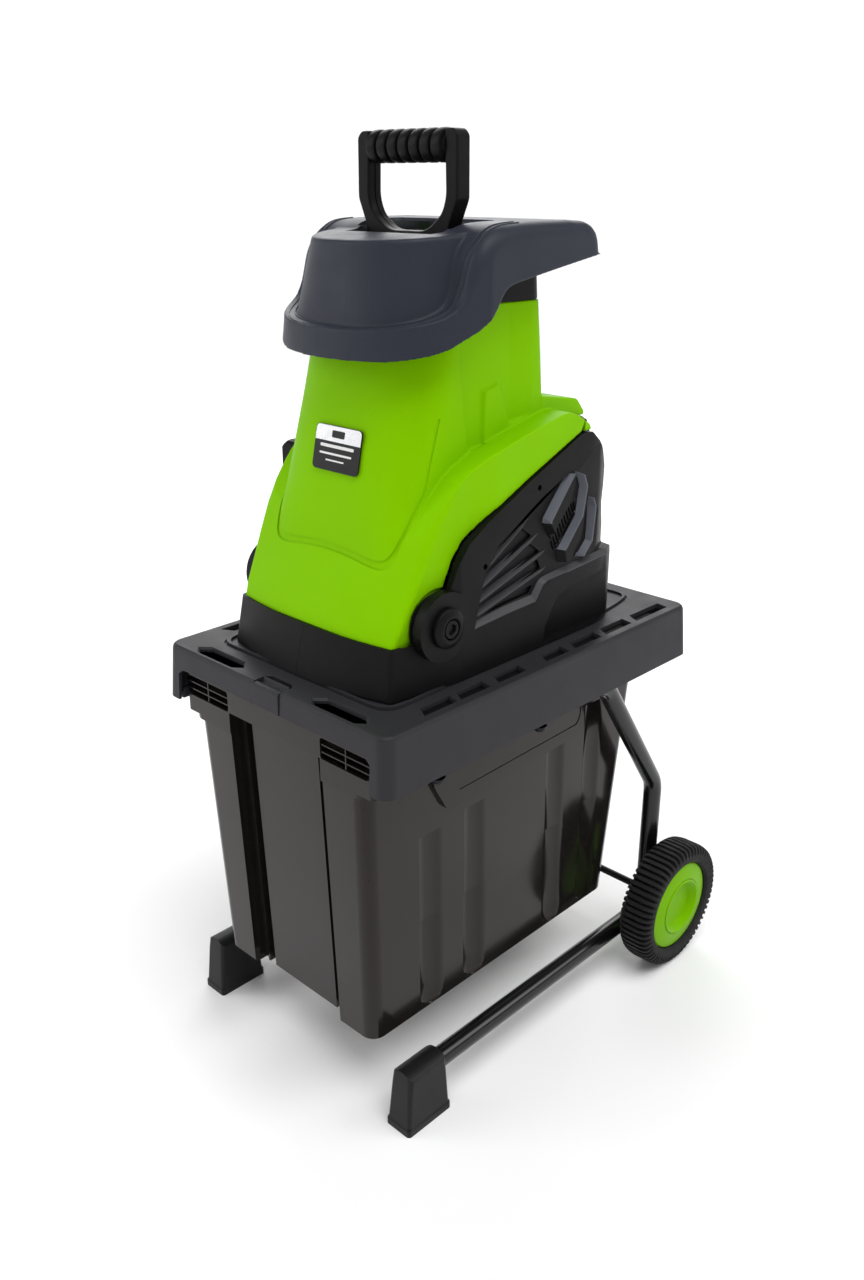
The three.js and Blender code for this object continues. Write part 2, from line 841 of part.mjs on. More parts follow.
function neckShape() {
  const top = chute.top + 2;
  const low = head.towerTop + GAP;
  const outline = (inset) => roundRect(-92 + inset, 92 - inset, -102 + inset, 49 - inset, 20 - inset);
  return loft([
    { z: low, ring: outline(0) },
    { z: top, ring: outline(2) },
  ]).subtract(
    loft([
      { z: low - 1, ring: outline(WALL) },
      { z: top + 1, ring: outline(WALL + 2) },
    ]),
  );
}

const hoodRim = { halfX: 138, front: -157.5, middle: -44, low: 772.6, rise: 41.4, power: 2.1 };
const hoodCap = { halfX: 108, front: -148.5, middle: -20, power: 2.9 };

// The brim's upper edge: nearly level round the front, steep at the sides, level over the wings.
const hoodRidge = [
  [-20, 889],
  [-50, 884.5],
  [-66, 875],
  [-77, 856],
  [-84, 833],
  [-93, 819],
  [-115, 809],
  [-148, 802],
];

// A front that follows a superellipse, closed by a straight tail with clipped corners.
function hoodPlan({ halfX, front, middle, power }, tail, inset, steps = 14) {
  const nose = Array.from({ length: steps + 1 }, (_, i) => {
    const angle = Math.PI + (Math.PI * i) / steps;
    const c = Math.cos(angle);
    const s = Math.sin(angle);
    const grow = (value) => Math.sign(value) * Math.abs(value) ** (2 / power);
    return [(halfX - inset) * grow(c), middle + (middle - front - inset) * grow(s)];
  });
  return [
    ...nose,
    [tail.halfX - inset, 60],
    [tail.halfX - inset, tail.back - 14],
    [tail.halfX - 14 - inset / 2, tail.back - inset],
    [14 + inset / 2 - tail.halfX, tail.back - inset],
    [inset - tail.halfX, tail.back - 14],
    [inset - tail.halfX, 60],
  ];
}

// Height of the rim, which rises towards the rear.
const rimAt = (y) => hoodRim.low + hoodRim.rise * ((y - hoodRim.front) / 100) ** 2;

// An open line of points moved to its own right by a distance.
function movedIn(line, distance) {
  return line.map(([y, z], i) => {
    const [y0, z0] = line[Math.max(i - 1, 0)];
    const [y1, z1] = line[Math.min(i + 1, line.length - 1)];
    const length = Math.hypot(y1 - y0, z1 - z0);
    return [y - ((z1 - z0) / length) * distance, z + ((y1 - y0) / length) * distance];
  });
}

function hoodShape() {
  const tail = { halfX: 124, back: 119 };
  const sweep = [-165, -140, -110, -80, -50, -25];
  const rim = sweep.map((y) => [y, rimAt(Math.max(y, hoodRim.front))]);
  const under = [...rim, [22, 842], [125, 858]];
  const over = [[125, 882], [100, 888], [20, 891], ...hoodRidge, [-165, 800]];
  const brim = prism("x", [...under, ...over], -150, 150);
  const brimPlan = prism("z", hoodPlan(hoodRim, tail, 0), 760, 900);
  const capLevels = (inset, low, high) =>
    loft([
      { z: low, ring: hoodPlan(hoodCap, { halfX: 106, back: 60 }, inset) },
      {
        z: high,
        ring: hoodPlan({ ...hoodCap, front: -133, halfX: 106 }, { halfX: 104, back: 60 }, inset + 1),
      },
    ]);
  const topSlope = prism(
    "x",
    [
      [-170, 700],
      [150, 700],
      [150, 892],
      [-20, 891],
      [-60, 887],
      [-133, 877],
      [-170, 872],
    ],
    -150,
    150,
  );
  const outer = brim.intersect(brimPlan).add(capLevels(0, 798, 893).intersect(topSlope));
  const innerOver = movedIn(over, WALL);
  const innerBrim = prism("x", [[-170, 740], [130, 740], ...innerOver], -150, 150);
  const innerPlan = prism("z", hoodPlan(hoodRim, tail, WALL), 735, 900);
  const innerCap = capLevels(WALL, 770, 893).intersect(topSlope.translate([0, 0, -WALL]));
  const hollow = innerBrim.intersect(innerPlan).add(innerCap);
  const slotY = [chute.y - chute.halfY + WALL, chute.y + chute.halfY - WALL];
  const slot = block(3 - chute.halfX, chute.halfX - 3, ...slotY, 860, 900);
  const dish = loft([
    { z: 882.5, ring: roundRect(-66, 66, slotY[0] - 6, slotY[1] + 6, 10) },
    { z: 895, ring: roundRect(-72, 72, slotY[0] - 12, slotY[1] + 12, 12) },
  ]);
  return outer.subtract(hollow).subtract(slot).subtract(dish.translate([0, 0, 3]));
}

function chuteShape() {
  const outline = (halfX, halfY) => roundRect(-halfX, halfX, chute.y - halfY, chute.y + halfY, 8, 2);
  const tubeOf = (inset, over) =>
    loft([
      { z: 540, ring: outline(54 - inset, 38 - inset) },
      { z: 760, ring: outline(chute.halfX - inset, chute.halfY - inset) },
      { z: chute.top + over, ring: outline(chute.halfX - inset, chute.halfY - inset) },
    ]);
  const shape = tubeOf(0, 0).subtract(tubeOf(WALL, 1));
  const flange = prism("z", roundRect(-86, 86, -94, 42, 16), chute.top - 14, chute.top - 10);
  const hole = prism("z", outline(chute.halfX - WALL, chute.halfY - WALL), 850, 860);
  const joined = shape.add(flange.subtract(hole));
  const face = loft([
    { z: -80, ring: rectangle(-130, 130, -160, 220) },
    { z: 13, ring: rectangle(-130, 130, -160, 220) },
  ]);
  return joined.subtract(face.rotate([drive.tilt, 0, 0]).translate([0, drive.y, drive.z]));
}

function plateShape() {
  const plate = prism("y", roundRect(-33, 33, -22, 22, 5, 3), -1, 0);
  return plate.rotate([-12.2, 0, 0]).translate([0, -142.4, 684]);
}

function buildHead() {
  piece("head_shell", headShape(), finish.green);
  piece("neck", neckShape(), finish.black);
  piece("hood", hoodShape(), finish.hood);
  piece("feed_chute", chuteShape(), finish.black);
  piece("name_plate", plateShape(), finish.plate);
  lockKnob();
}

function lockKnob() {
  const lobes = Array.from({ length: 24 }, (_, i) => {
    const angle = (i / 24) * 2 * Math.PI;
    const radius = 21 + 2.5 * Math.cos(6 * angle);
    return [radius * Math.cos(angle), radius * Math.sin(angle)];
  });
  const stud = 4;
  const seat = 3.4;
  const grip = prism("z", lobes, 4, 24);
  const collar = rod("z", 0, 0, 12, 1, 5, 16);
  const bore = rod("z", 0, 0, stud + GAP, 0, 14, 12);
  const knob = grip.add(collar).subtract(bore).translate([0, 0, seat]);
  const screw = rod("z", 0, 0, stud, seat - 2, seat + 10, 12);
  piece("lock_knob", atLock(knob), finish.black);
  piece("lock_screw", atLock(screw), finish.zinc);
}

// ---------------------------------------------------------------- plunger

function handleShape() {
  const outline = [
    [-56, handle.foot - 17],
    [56, handle.foot - 17],
    [57, handle.foot],
    [71, 911],
    [70, handle.top - 8],
    [62, handle.top],
    [-62, handle.top],
    [-70, handle.top - 8],
    [-71, 911],
    [-57, handle.foot],
  ];
  const opening = [
    [-41, 945],
    [-54, 935],
    [-55, 912],
    [-42, 902],
    [0, 896],
    [42, 902],
    [55, 912],
    [54, 935],
    [41, 945],
  ];
  const near = handle.y - handle.halfY;
  return prism("y", outline, near, handle.y + handle.halfY, [opening]);
}

function paddleShape() {
  const top = handle.foot - 17 - GAP;
  const bottom = 760;
  const near = chute.y - 32;
  const far = chute.y + 32;
  const sole = block(-54, 54, near, far, bottom, bottom + 5);
  const across = block(-54, 54, chute.y - 3, chute.y + 3, bottom, top);
  const along = block(-3, 3, near, far, bottom, top);
  const cap = block(-54, 54, near, far, top - 4, top);
  return sole.add(across).add(along).add(cap);
}

function buildPlunger() {
  piece("plunger_handle", handleShape(), finish.black);
  piece("plunger_block", paddleShape(), finish.black);
}

// ---------------------------------------------------------------- knife disc and belt drive

const pulley = { large: 42, small: 12, low: -34, high: -24 };
const spindle = { radius: 8, low: -40, high: 8 };
const motorShaft = { radius: 5, low: -118, high: -24 };
const bearingRadius = 16.3;

function discShape() {
  const slots = [0, 180].map((angle) => {
    const slot = block(-18, -4, 24, 78, -6, 1);
    return slot.rotate([0, 0, angle]);
  });
  const disc = ring("z", 0, 0, drive.disc, spindle.radius + GAP, -5, 0, 32);
  return slots.reduce((shape, slot) => shape.subtract(slot), disc);
}

function knifeShape() {
  const outline = [
    [-3, 0.3],
    [22, 0.3],
    [22, 4.3],
    [3, 4.3],
  ];
  return prism("y", outline, 26, 80);
}

function spindleShape() {
  const shaft = rod("z", 0, 0, spindle.radius, spindle.low, spindle.high);
  const collar = ring("z", 0, 0, 12, spindle.radius - 1, -8, -5 - GAP);
  return shaft.add(collar);
}

function mountPlateShape() {
  const outline = [
    [-121, -28],
    [-60, -70],
    [60, -70],
    [121, -28],
    [121, 30],
    [70, 60],
    [62, 128],
    [-62, 128],
    [-70, 60],
    [-121, 30],
  ];
  const motorHole = circle(0, drive.centres, 18, 16);
  const chipGap = rectangle(-50, 50, -64, -36);
  const plate = prism("z", outline, -20, -14, [motorHole, chipGap]);
  const hub = rod("z", 0, 0, 23, -22, -8.5, 20);
  const posts = [-50, 50].map((x) => rod("z", x, drive.centres, 6, -38 + GAP, -15, 10));
  const joined = posts.reduce((shape, post) => shape.add(post), plate.add(hub));
  return joined.subtract(rod("z", 0, 0, bearingRadius + GAP, -30, 0, 20));
}

const bearingShape = (low) =>
  ring("z", 0, 0, bearingRadius, spindle.radius + GAP, low, low + 6, 20);

function pulleyShape(radius, y, bore) {
  const { low, high } = pulley;
  const profile = [
    [bore, low],
    [radius, low],
    [radius, low + 1.2],
    [radius - 2, low + 1.5],
    [radius - 2, high - 1.5],
    [radius, high - 1.2],
    [radius, high],
    [bore, high],
    [bore, low],
  ];
  return lathe(profile, 16).translate([0, y, 0]);
}

// The belt runs round both pulleys, on the straight lines that touch their two circles.
function beltShape() {
  const lean = THREE.MathUtils.radToDeg(Math.asin((pulley.large - pulley.small) / drive.centres));
  const loop = (grow) => [
    ...arc(0, 0, pulley.large - 1.5 + grow, 180 - lean, 360 + lean, 14),
    ...arc(0, drive.centres, pulley.small - 1.5 + grow, lean, 180 - lean, 8),
  ];
  return prism("z", loop(2.5), pulley.low + 1.8, pulley.high - 1.8, [loop(0)]);
}

function motorHousingShape() {
  const y = drive.centres;
  const can = ring("z", 0, y, drive.motor, drive.motor - 2.5, -122, -40, 24);
  const face = ring("z", 0, y, drive.motor, 12, -41, -38, 24);
  const ears = rod("z", -50, y, 7, -41, -38, 10).add(rod("z", 50, y, 7, -41, -38, 10));
  const bridge = block(-50, 50, y - 8, y + 8, -41, -38).subtract(rod("z", 0, y, 12, -45, -30, 24));
  return can.add(face).add(ears).add(bridge);
}

function counterKnifeShape() {
  const outline = [
    [-50, 1.2],
    [50, 1.2],
    [46, 4.2],
    [-46, 4.2],
  ];
  return prism("y", outline, -112, -95);
}

function buildDrive() {
  driveGroup.position.set(0, drive.y, drive.z);
  driveGroup.rotation.x = THREE.MathUtils.degToRad(drive.tilt);
  root.add(driveGroup);
  const y = drive.centres;
  const onSpindle = spindle.radius + GAP;
  const onShaft = motorShaft.radius + GAP;
  const { radius, low, high } = motorShaft;
  piece("knife_disc", discShape(), finish.steel, driveGroup);
  piece("knife_a", knifeShape(), finish.steel, driveGroup);
  piece("knife_b", knifeShape().rotate([0, 0, 180]), finish.steel, driveGroup);
  piece("spindle", spindleShape(), finish.steel, driveGroup);
  piece("disc_nut", ring("z", 0, 0, 14, onSpindle, GAP, 7, 6), finish.zinc, driveGroup);
  piece("mount_plate", mountPlateShape(), finish.alloy, driveGroup);
  piece("upper_bearing", bearingShape(-14.6), finish.steel, driveGroup);
  piece("lower_bearing", bearingShape(-21.6), finish.steel, driveGroup);
  piece("large_pulley", pulleyShape(pulley.large, 0, onSpindle), finish.alloy, driveGroup);
  piece("small_pulley", pulleyShape(pulley.small, y, onShaft), finish.alloy, driveGroup);
  piece("drive_belt", beltShape(), finish.rubber, driveGroup);
  piece("motor_housing", motorHousingShape(), finish.black, driveGroup);
  piece("stator", ring("z", 0, y, 37, 25.5, -108, -50), finish.copper, driveGroup);
  piece("rotor", ring("z", 0, y, 24, onShaft, -106, -52), finish.copper, driveGroup);
  piece("motor_shaft", rod("z", 0, y, radius, low, high, 12), finish.steel, driveGroup);
  piece("counter_knife", counterKnifeShape(), finish.steel, driveGroup);
}

// ---------------------------------------------------------------- switch box on the left side

const switchBox = { near: -130.4, far: -150, front: -92, back: -14, low: 592, high: 664 };

const buttons = [
  { name: "on_button", y: -70, z: 638, radius: 10, colour: "green" },
  { name: "off_button", y: -42, z: 638, radius: 10, colour: "red" },
  { name: "reset_button", y: -70, z: 610, radius: 5.5, colour: "black" },
];

function switchBoxShape() {
  const { near, far, front, back, low, high } = switchBox;
  const outline = [
    [far, low + 8],
    [far + 6, low],
    [near, low],
    [near, high],
    [far + 6, high],
    [far, high - 8],
  ];
  const side = roundRect(front, back, low, high, 8);
  let shape = prism("y", outline, front, back).intersect(prism("x", side, far, near));
  buttons.forEach(({ y, z, radius }) => {
    shape = shape.subtract(rod("x", y, z, radius + 0.6, far - 1, far + 12, 20));
  });
  const inletSide = roundRect(-146, -134, low + 10, low + 34, 3, 2);
  return shape.subtract(prism("y", inletSide, back - 14, back + 1));
}

function buildSwitch() {
  const { far, back, low } = switchBox;
  piece("switch_box", switchBoxShape(), finish.black);
  buttons.forEach(({ name, y, z, radius, colour }) => {
    piece(name, rod("x", y, z, radius, far - 3, far + 6, 20), finish[colour]);
  });
  const shell = roundRect(-145.6, -134.4, low + 10.4, low + 33.6, 2.6, 2);
  const cavity = roundRect(-143.6, -136.4, low + 12.4, low + 31.6, 1.5, 2);
  const collar = prism("y", shell, back - 13.6, back + 8, [cavity]);
  piece("power_inlet", collar.add(prism("y", shell, back - 13.6, back - 10)), finish.black);
}

// ---------------------------------------------------------------- assembly

buildChassis();
buildDeck();
buildHousing();
buildHead();
buildPlunger();
buildDrive();
buildSwitch();

// The origin is under the middle of the whole machine.
const frontmost = -deck.halfY - deck.flare;
const rearmost = wheel.y + wheel.radius;
root.position.y = -(frontmost + rearmost) / 2;

export default root;
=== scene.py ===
"""The looks of an electric garden shredder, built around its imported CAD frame.

Lengths in the shape functions are millimetres in the machine's own frame: +X right, -Y the front,
z = 0 the ground, y = 0 the middle of the deck. place() turns them into metres in the CAD frame.
"""

import math

import bmesh
import bpy
from mathutils import Matrix, Vector


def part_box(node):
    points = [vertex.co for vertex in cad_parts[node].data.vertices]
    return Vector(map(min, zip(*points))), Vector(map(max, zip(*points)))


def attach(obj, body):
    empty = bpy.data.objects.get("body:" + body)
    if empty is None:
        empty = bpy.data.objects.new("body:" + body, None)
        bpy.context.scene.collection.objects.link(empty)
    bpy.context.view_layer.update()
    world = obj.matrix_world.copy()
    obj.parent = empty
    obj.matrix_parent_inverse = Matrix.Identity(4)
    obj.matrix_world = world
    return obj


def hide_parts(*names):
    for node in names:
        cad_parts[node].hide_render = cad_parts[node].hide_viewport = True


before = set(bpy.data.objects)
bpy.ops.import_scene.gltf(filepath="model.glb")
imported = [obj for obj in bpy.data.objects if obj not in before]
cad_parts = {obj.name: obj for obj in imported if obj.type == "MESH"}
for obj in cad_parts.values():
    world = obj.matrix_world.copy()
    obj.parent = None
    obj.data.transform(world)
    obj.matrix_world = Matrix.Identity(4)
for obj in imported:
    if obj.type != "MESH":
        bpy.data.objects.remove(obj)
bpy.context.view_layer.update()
scene = bpy.context.scene

# ---- measures taken from the frame

AXLE_Y = 217.0  # the axle's place in the machine's own frame
axle_low, axle_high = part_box("axle")
SHIFT_Y = (axle_low.y + axle_high.y) * 500 - AXLE_Y
TO_FRAME = Matrix.Translation((0, SHIFT_Y / 1000, 0)) @ Matrix.Scale(0.001, 4)


# ---- outlines


def arc(a, b, radius, start, end, steps):
    angles = [math.radians(start + (end - start) * i / steps) for i in range(steps + 1)]
    return [(a + radius * math.cos(t), b + radius * math.sin(t)) for t in angles]


def circle(a, b, radius, steps=48):
    return arc(a, b, radius, 0, 360, steps)[:-1]


def round_rect(a0, a1, b0, b1, radius, steps=6):
    return (
        arc(a1 - radius, b0 + radius, radius, -90, 0, steps)
        + arc(a1 - radius, b1 - radius, radius, 0, 90, steps)
        + arc(a0 + radius, b1 - radius, radius, 90, 180, steps)
        + arc(a0 + radius, b0 + radius, radius, 180, 270, steps)
    )


def rounded(corners, radius, steps=5):
    """A closed outline with each corner rounded by its own radius, or by one for all."""
    count = len(corners)
    radii = radius if isinstance(radius, (list, tuple)) else [radius] * count
    made = []
    for i, (corner, r) in enumerate(zip(corners, radii)):
        at = Vector(corner)
        back = Vector(corners[i - 1]) - at
        on = Vector(corners[(i + 1) % count]) - at
        reach = min(r, back.length * 0.45, on.length * 0.45)
        start, end = at + back.normalized() * reach, at + on.normalized() * reach
        for k in range(steps + 1):
            t = k / steps
            made.append(tuple(start * (1 - t) ** 2 + at * 2 * t * (1 - t) + end * t * t))
    return made


def softened(line):
    """An open line with its corners cut off evenly, twice over, so that it bends smoothly."""
    for _ in range(2):
        made = [line[0]]
        for (a, b), (c, d) in zip(line, line[1:]):
            made += [(a * 0.75 + c * 0.25, b * 0.75 + d * 0.25), (a * 0.25 + c * 0.75, b * 0.25 + d * 0.75)]
        line = made + [line[-1]]
    return line


# ---- solids


def new_object(bm, name="work"):
    bmesh.ops.recalc_face_normals(bm, faces=bm.faces)
    mesh = bpy.data.meshes.new(name)
    bm.to_mesh(mesh)
    bm.free()
    made = bpy.data.objects.new(name, mesh)
    scene.collection.objects.link(made)
    return made


def skin(rings, closed_loop=False):
    """Rings of equally many 3-D points, joined in order, with flat ends unless the rings close."""
    bm = bmesh.new()
    rows = [[bm.verts.new(point) for point in ring] for ring in rings]
    count = len(rows[0])
    last = len(rows) if closed_loop else len(rows) - 1
    for k in range(last):
        here, there = rows[k], rows[(k + 1) % len(rows)]
        for i in range(count):
            j = (i + 1) % count
            bm.faces.new((here[i], here[j], there[j], there[i]))
    if not closed_loop:
        bm.faces.new(rows[0])
        bm.faces.new(rows[-1])
    return new_object(bm)


AXES = {
    "x": lambda a, b, h: (h, a, b),
    "y": lambda a, b, h: (a, h, b),
    "z": lambda a, b, h: (a, b, h),
}


def prism(axis, outline, low, high):
    put = AXES[axis]
    return skin([[put(a, b, h) for a, b in outline] for h in (low, high)])


def block(x0, x1, y0, y1, z0, z1):
    return prism("z", [(x0, y0), (x1, y0), (x1, y1), (x0, y1)], z0, z1)


def loft(levels):
    """Levels are (z, plan outline)."""
    return skin([[(x, y, z) for x, y in outline] for z, outline in levels])


def rod(axis, a, b, radius, low, high, steps=48):
    return prism(axis, circle(a, b, radius, steps), low, high)


def turned(axis, a, b, profile, steps=64):
    """A closed profile of (radius, height) turned about an axis through (a, b)."""
    put = AXES[axis]
    rings = []
    for k in range(steps):
        t = 2 * math.pi * k / steps
        rings.append([put(a + r * math.cos(t), b + r * math.sin(t), h) for r, h in profile])
    return clean(skin(rings, closed_loop=True), 0.001, outward=True)


def swept(path, section, x):
    """A section of (sideways, outward) points carried along a path of (y, z) points at one x."""
    rings = []
    for i, (y, z) in enumerate(path):
        before = path[max(i - 1, 0)]
        after = path[min(i + 1, len(path) - 1)]
        heading = Vector((after[0] - before[0], after[1] - before[1])).normalized()
        rings.append([(x + s, y - heading.y * u, z + heading.x * u) for s, u in section])
    return skin(rings)


def bake(obj):
    depsgraph = bpy.context.evaluated_depsgraph_get()
    mesh = bpy.data.meshes.new_from_object(obj.evaluated_get(depsgraph))
    obj.modifiers.clear()
    obj.data = mesh
    return obj


def combine(target, operation, tools):
    """Joins each tool to the target, takes it away or keeps what they share, and drops the tool."""
    for tool in tools:
        modifier = target.modifiers.new("cut", "BOOLEAN")
        modifier.operation = operation
        modifier.solver = "MANIFOLD"
        modifier.object = tool
        bake(target)
        bpy.data.objects.remove(tool)
    return target


def cut(target, *tools):
    return combine(target, "DIFFERENCE", tools)


def add(target, *tools):
    return combine(target, "UNION", tools)


def keep(target, *tools):
    return combine(target, "INTERSECT", tools)


def copy_of(obj, mirror=False):
    made = bpy.data.objects.new("work", obj.data.copy())
    scene.collection.objects.link(made)
    if mirror:
        made.data.transform(Matrix.Scale(-1, 4, (1, 0, 0)))
        made.data.flip_normals()
    return made


def both(obj):
    """A tool and its mirror image."""
    return obj, copy_of(obj, mirror=True)


def clean(obj, distance, outward=False):
    """Merges points that all but coincide, removes slivers and can turn the faces outward."""
    bm = bmesh.new()
    bm.from_mesh(obj.data)
    bmesh.ops.remove_doubles(bm, verts=bm.verts, dist=distance)
    bmesh.ops.dissolve_degenerate(bm, dist=distance / 2, edges=bm.edges)
    if outward:
        bmesh.ops.recalc_face_normals(bm, faces=bm.faces)
    bm.to_mesh(obj.data)
    bm.free()
    return obj


def bevel(obj, width, segments=3, angle=30):
    clean(obj, 0.03)
    modifier = obj.modifiers.new("bevel", "BEVEL")
    modifier.width = width
    modifier.segments = segments
    modifier.limit_method = "ANGLE"
    modifier.angle_limit = math.radians(angle)
    return clean(bake(obj), 0.01)


def melt(obj, voxel, passes):
    """Fuses the solid and rounds all its edges a little, as a moulding tool does."""
    remesh = obj.modifiers.new("remesh", "REMESH")
    remesh.mode = "VOXEL"
    remesh.voxel_size = voxel
    smooth = obj.modifiers.new("smooth", "SMOOTH")
    smooth.iterations = passes
    smooth.factor = 0.5
    return bake(obj)


def place(obj, name, body, nodes, material, sharp=38):
    """Names a finished piece, moves it into the frame and ties it to its body."""
    obj.name = name
    obj.data.name = name
    obj.data.transform(TO_FRAME)
    for polygon in obj.data.polygons:
        polygon.use_smooth = True
    obj.data.set_sharp_from_angle(angle=math.radians(sharp))
    weighted = obj.modifiers.new("weighted", "WEIGHTED_NORMAL")
    weighted.keep_sharp = True
    obj.data.materials.clear()
    obj.data.materials.append(material)
    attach(obj, body)
    if nodes:
        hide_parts(*nodes)


# ---- materials


class Shader:
    """A principled material and short ways to add nodes to it."""

    def __init__(self, name, colour, roughness, metallic=0.0, specular=0.5):
        self.material = bpy.data.materials.new(name)
        self.material.use_nodes = True
        self.tree = self.material.node_tree
        self.surface = self.tree.nodes["Principled BSDF"]
        self.set("Base Color", (*colour, 1))
        self.set("Roughness", roughness)
        self.set("Metallic", metallic)
        self.set("Specular IOR Level", specular)
        self.colour = colour
        self.where = self.add("ShaderNodeTexCoord").outputs["Object"]

    def set(self, socket, value):
        self.surface.inputs[socket].default_value = value

    def link(self, source, target):
        self.tree.links.new(source, target)

    def add(self, kind, **values):
        """Adds a node; values are named as its sockets are, with _ for a space."""
        node = self.tree.nodes.new(kind)
        for socket, value in values.items():
            node.inputs[socket.replace("_", " ")].default_value = value
        return node

    def noise(self, scale, detail=3, rough=0.55):
        node = self.add("ShaderNodeTexNoise", Scale=scale, Detail=detail, Roughness=rough)
        self.link(self.where, node.inputs["Vector"])
        return node.outputs["Fac"]

    def spread(self, value, low, high):
        node = self.add("ShaderNodeMapRange", From_Min=0.3, From_Max=0.7, To_Min=low, To_Max=high)
        self.link(value, node.inputs["Value"])
        return node.outputs["Result"]

    def mottle(self, scale, amount):
        """Slow changes of brightness over the surface."""
        node = self.add("ShaderNodeMix")
        node.data_type = "RGBA"
        dark = tuple(c * (1 - amount) for c in self.colour)
        light = tuple(min(1, c * (1 + amount)) for c in self.colour)
        node.inputs["A"].default_value = (*dark, 1)
        node.inputs["B"].default_value = (*light, 1)
        self.link(self.noise(scale), node.inputs["Factor"])
        self.link(node.outputs["Result"], self.surface.inputs["Base Color"])

    def uneven(self, scale, low, high):
        self.link(self.spread(self.noise(scale, 4), low, high), self.surface.inputs["Roughness"])

    def grain(self, scale, strength, distance=0.0002, detail=4):
        node = self.add("ShaderNodeBump", Strength=strength, Distance=distance)
        self.link(self.noise(scale, detail, 0.65), node.inputs["Height"])
        self.link(node.outputs["Normal"], self.surface.inputs["Normal"])


def moulded(name, colour, roughness, grain=0.35, scale=1400, mottle=0.06, specular=0.2, tint=(1, 1, 1)):
    """Moulded plastic: fine spark-eroded grain, slow unevenness in colour and gloss."""
    shader = Shader(name, colour, roughness, specular=specular)
    shader.set("Specular Tint", (*tint, 1))
    shader.mottle(9, mottle)
    shader.uneven(30, roughness * 0.88, min(1, roughness * 1.12))
    shader.grain(scale, grain)
    return shader.material


def glossy(name, colour):
    """Polished polypropylene with a faint orange peel and a few dull patches."""
    shader = Shader(name, colour, 0.13, specular=0.30)
    shader.mottle(6, 0.12)
    shader.set("Specular Tint", (1.0, 0.89, 0.87, 1))
    shader.uneven(14, 0.09, 0.19)
    shader.grain(60, 0.06, 0.0006, 2)
    return shader.material


def painted(name, colour):
    """Gloss powder coat."""
    shader = Shader(name, colour, 0.18, specular=0.45)
    shader.uneven(25, 0.15, 0.21)
    shader.grain(900, 0.04)
    return shader.material


def metal(name, colour, roughness):
    shader = Shader(name, colour, roughness, metallic=1.0)
    shader.uneven(220, roughness * 0.75, roughness * 1.3)
    shader.grain(1600, 0.12, 0.0001)
    return shader.material


def rubber(name, colour):
    shader = Shader(name, colour, 0.78, specular=0.35)
    shader.mottle(40, 0.25)
    shader.uneven(90, 0.68, 0.88)
    shader.grain(700, 0.4)
    return shader.material


LIME = (0.5, 1.0, 0.05)  # the tint of reflections in the lime plastics
GREEN = moulded("lime_green_plastic", (0.205, 0.510, 0.0005), 0.48, 0.4, 1500, 0.05, 0.06, LIME)
HUB_GREEN = moulded("hub_green_plastic", (0.160, 0.400, 0.001), 0.38, 0.15, 1500, 0.05, 0.1, LIME)
SLATE = moulded("slate_plastic", (0.022, 0.025, 0.038), 0.46, 0.6, 1100, 0.08)
CHARCOAL = moulded("charcoal_plastic", (0.025, 0.0245, 0.028), 0.46, 0.5, 1100, 0.10, 0.16)
BLACK = moulded("black_plastic", (0.005, 0.0046, 0.0046), 0.42, 0.4, 1300, 0.10, 0.11)
FOOT_BLACK = moulded("foot_plastic", (0.007, 0.007, 0.0075), 0.38, 0.3, 900, 0.10)
# Lighter grey laid on the black bars' front facets: painted highlight where the lamps catch them.
BAR_HIGHLIGHT_PAINT = moulded("accent_plastic", (0.090, 0.095, 0.115), 0.42, 0.4, 1300, 0.08)
# Grey laid on the black fins' and ledge's upper facets: painted highlight where light falls on them.
FIN_HIGHLIGHT_PAINT = moulded("painted_fin_highlight_plastic", (0.055, 0.055, 0.060), 0.42, 0.4, 1300, 0.08)
GLOSS = glossy("gloss_box_plastic", (0.010, 0.0085, 0.008))
FRAME_PAINT = painted("frame_paint", (0.003, 0.003, 0.0035))
TYRE = rubber("tyre_rubber", (0.007, 0.007, 0.0075))
BELT = rubber("belt_rubber", (0.010, 0.010, 0.010))
ZINC = metal("zinc_plate", (0.50, 0.51, 0.53), 0.34)
BLACKENED = metal("blackened_zinc", (0.022, 0.022, 0.024), 0.38)
STEEL = metal("ground_steel", (0.45, 0.46, 0.48), 0.28)
ALLOY = metal("cast_alloy", (0.42, 0.43, 0.45), 0.45)
WINDING = metal("winding_copper", (0.42, 0.20, 0.09), 0.42)
RED = moulded("red_plastic", (0.48, 0.02, 0.02), 0.30, 0.1)
INK = moulded("plate_ink", (0.012, 0.012, 0.013), 0.25, 0.05)
SILVER = metal("plate_silver", (0.62, 0.62, 0.64), 0.30)
WHITE_INK = moulded("plate_white", (0.75, 0.75, 0.74), 0.35, 0.05)


# ---- frame, feet and wheels

TUBE = {"x": 158, "radius": 11, "bend": 40, "low": 53, "high": 406}
TUBE_PATH = [(-214, TUBE["low"]), (219, TUBE["low"]), (219, 235)]
TUBE_PATH += [(101, TUBE["high"]), (-200, TUBE["high"])]
BOLT_ROWS = {"front": -167, "rear": -12}
WHEEL_RADIUS = 80


def bent(corners, radius, steps=14):
    """The corners of a path with round bends."""
    made = [corners[0]]
    for before, corner, after in zip(corners, corners[1:], corners[2:]):
        at = Vector(corner)
        back = (Vector(before) - at).normalized()
        on = (Vector(after) - at).normalized()
        half = back.angle(on) / 2
        centre = at + (back + on).normalized() * radius / math.sin(half)
        start = at + back * radius / math.tan(half) - centre
        end = at + on * radius / math.tan(half) - centre
        turn = math.atan2(start.x * end.y - start.y * end.x, start.dot(end))
        for k in range(steps + 1):
            spoke = Matrix.Rotation(turn * k / steps, 2) @ start
            made.append(tuple(centre + spoke))
    return made + [corners[-1]]


def tube():
    return swept(bent(TUBE_PATH, TUBE["bend"]), circle(0, 0, TUBE["radius"], 28), TUBE["x"])


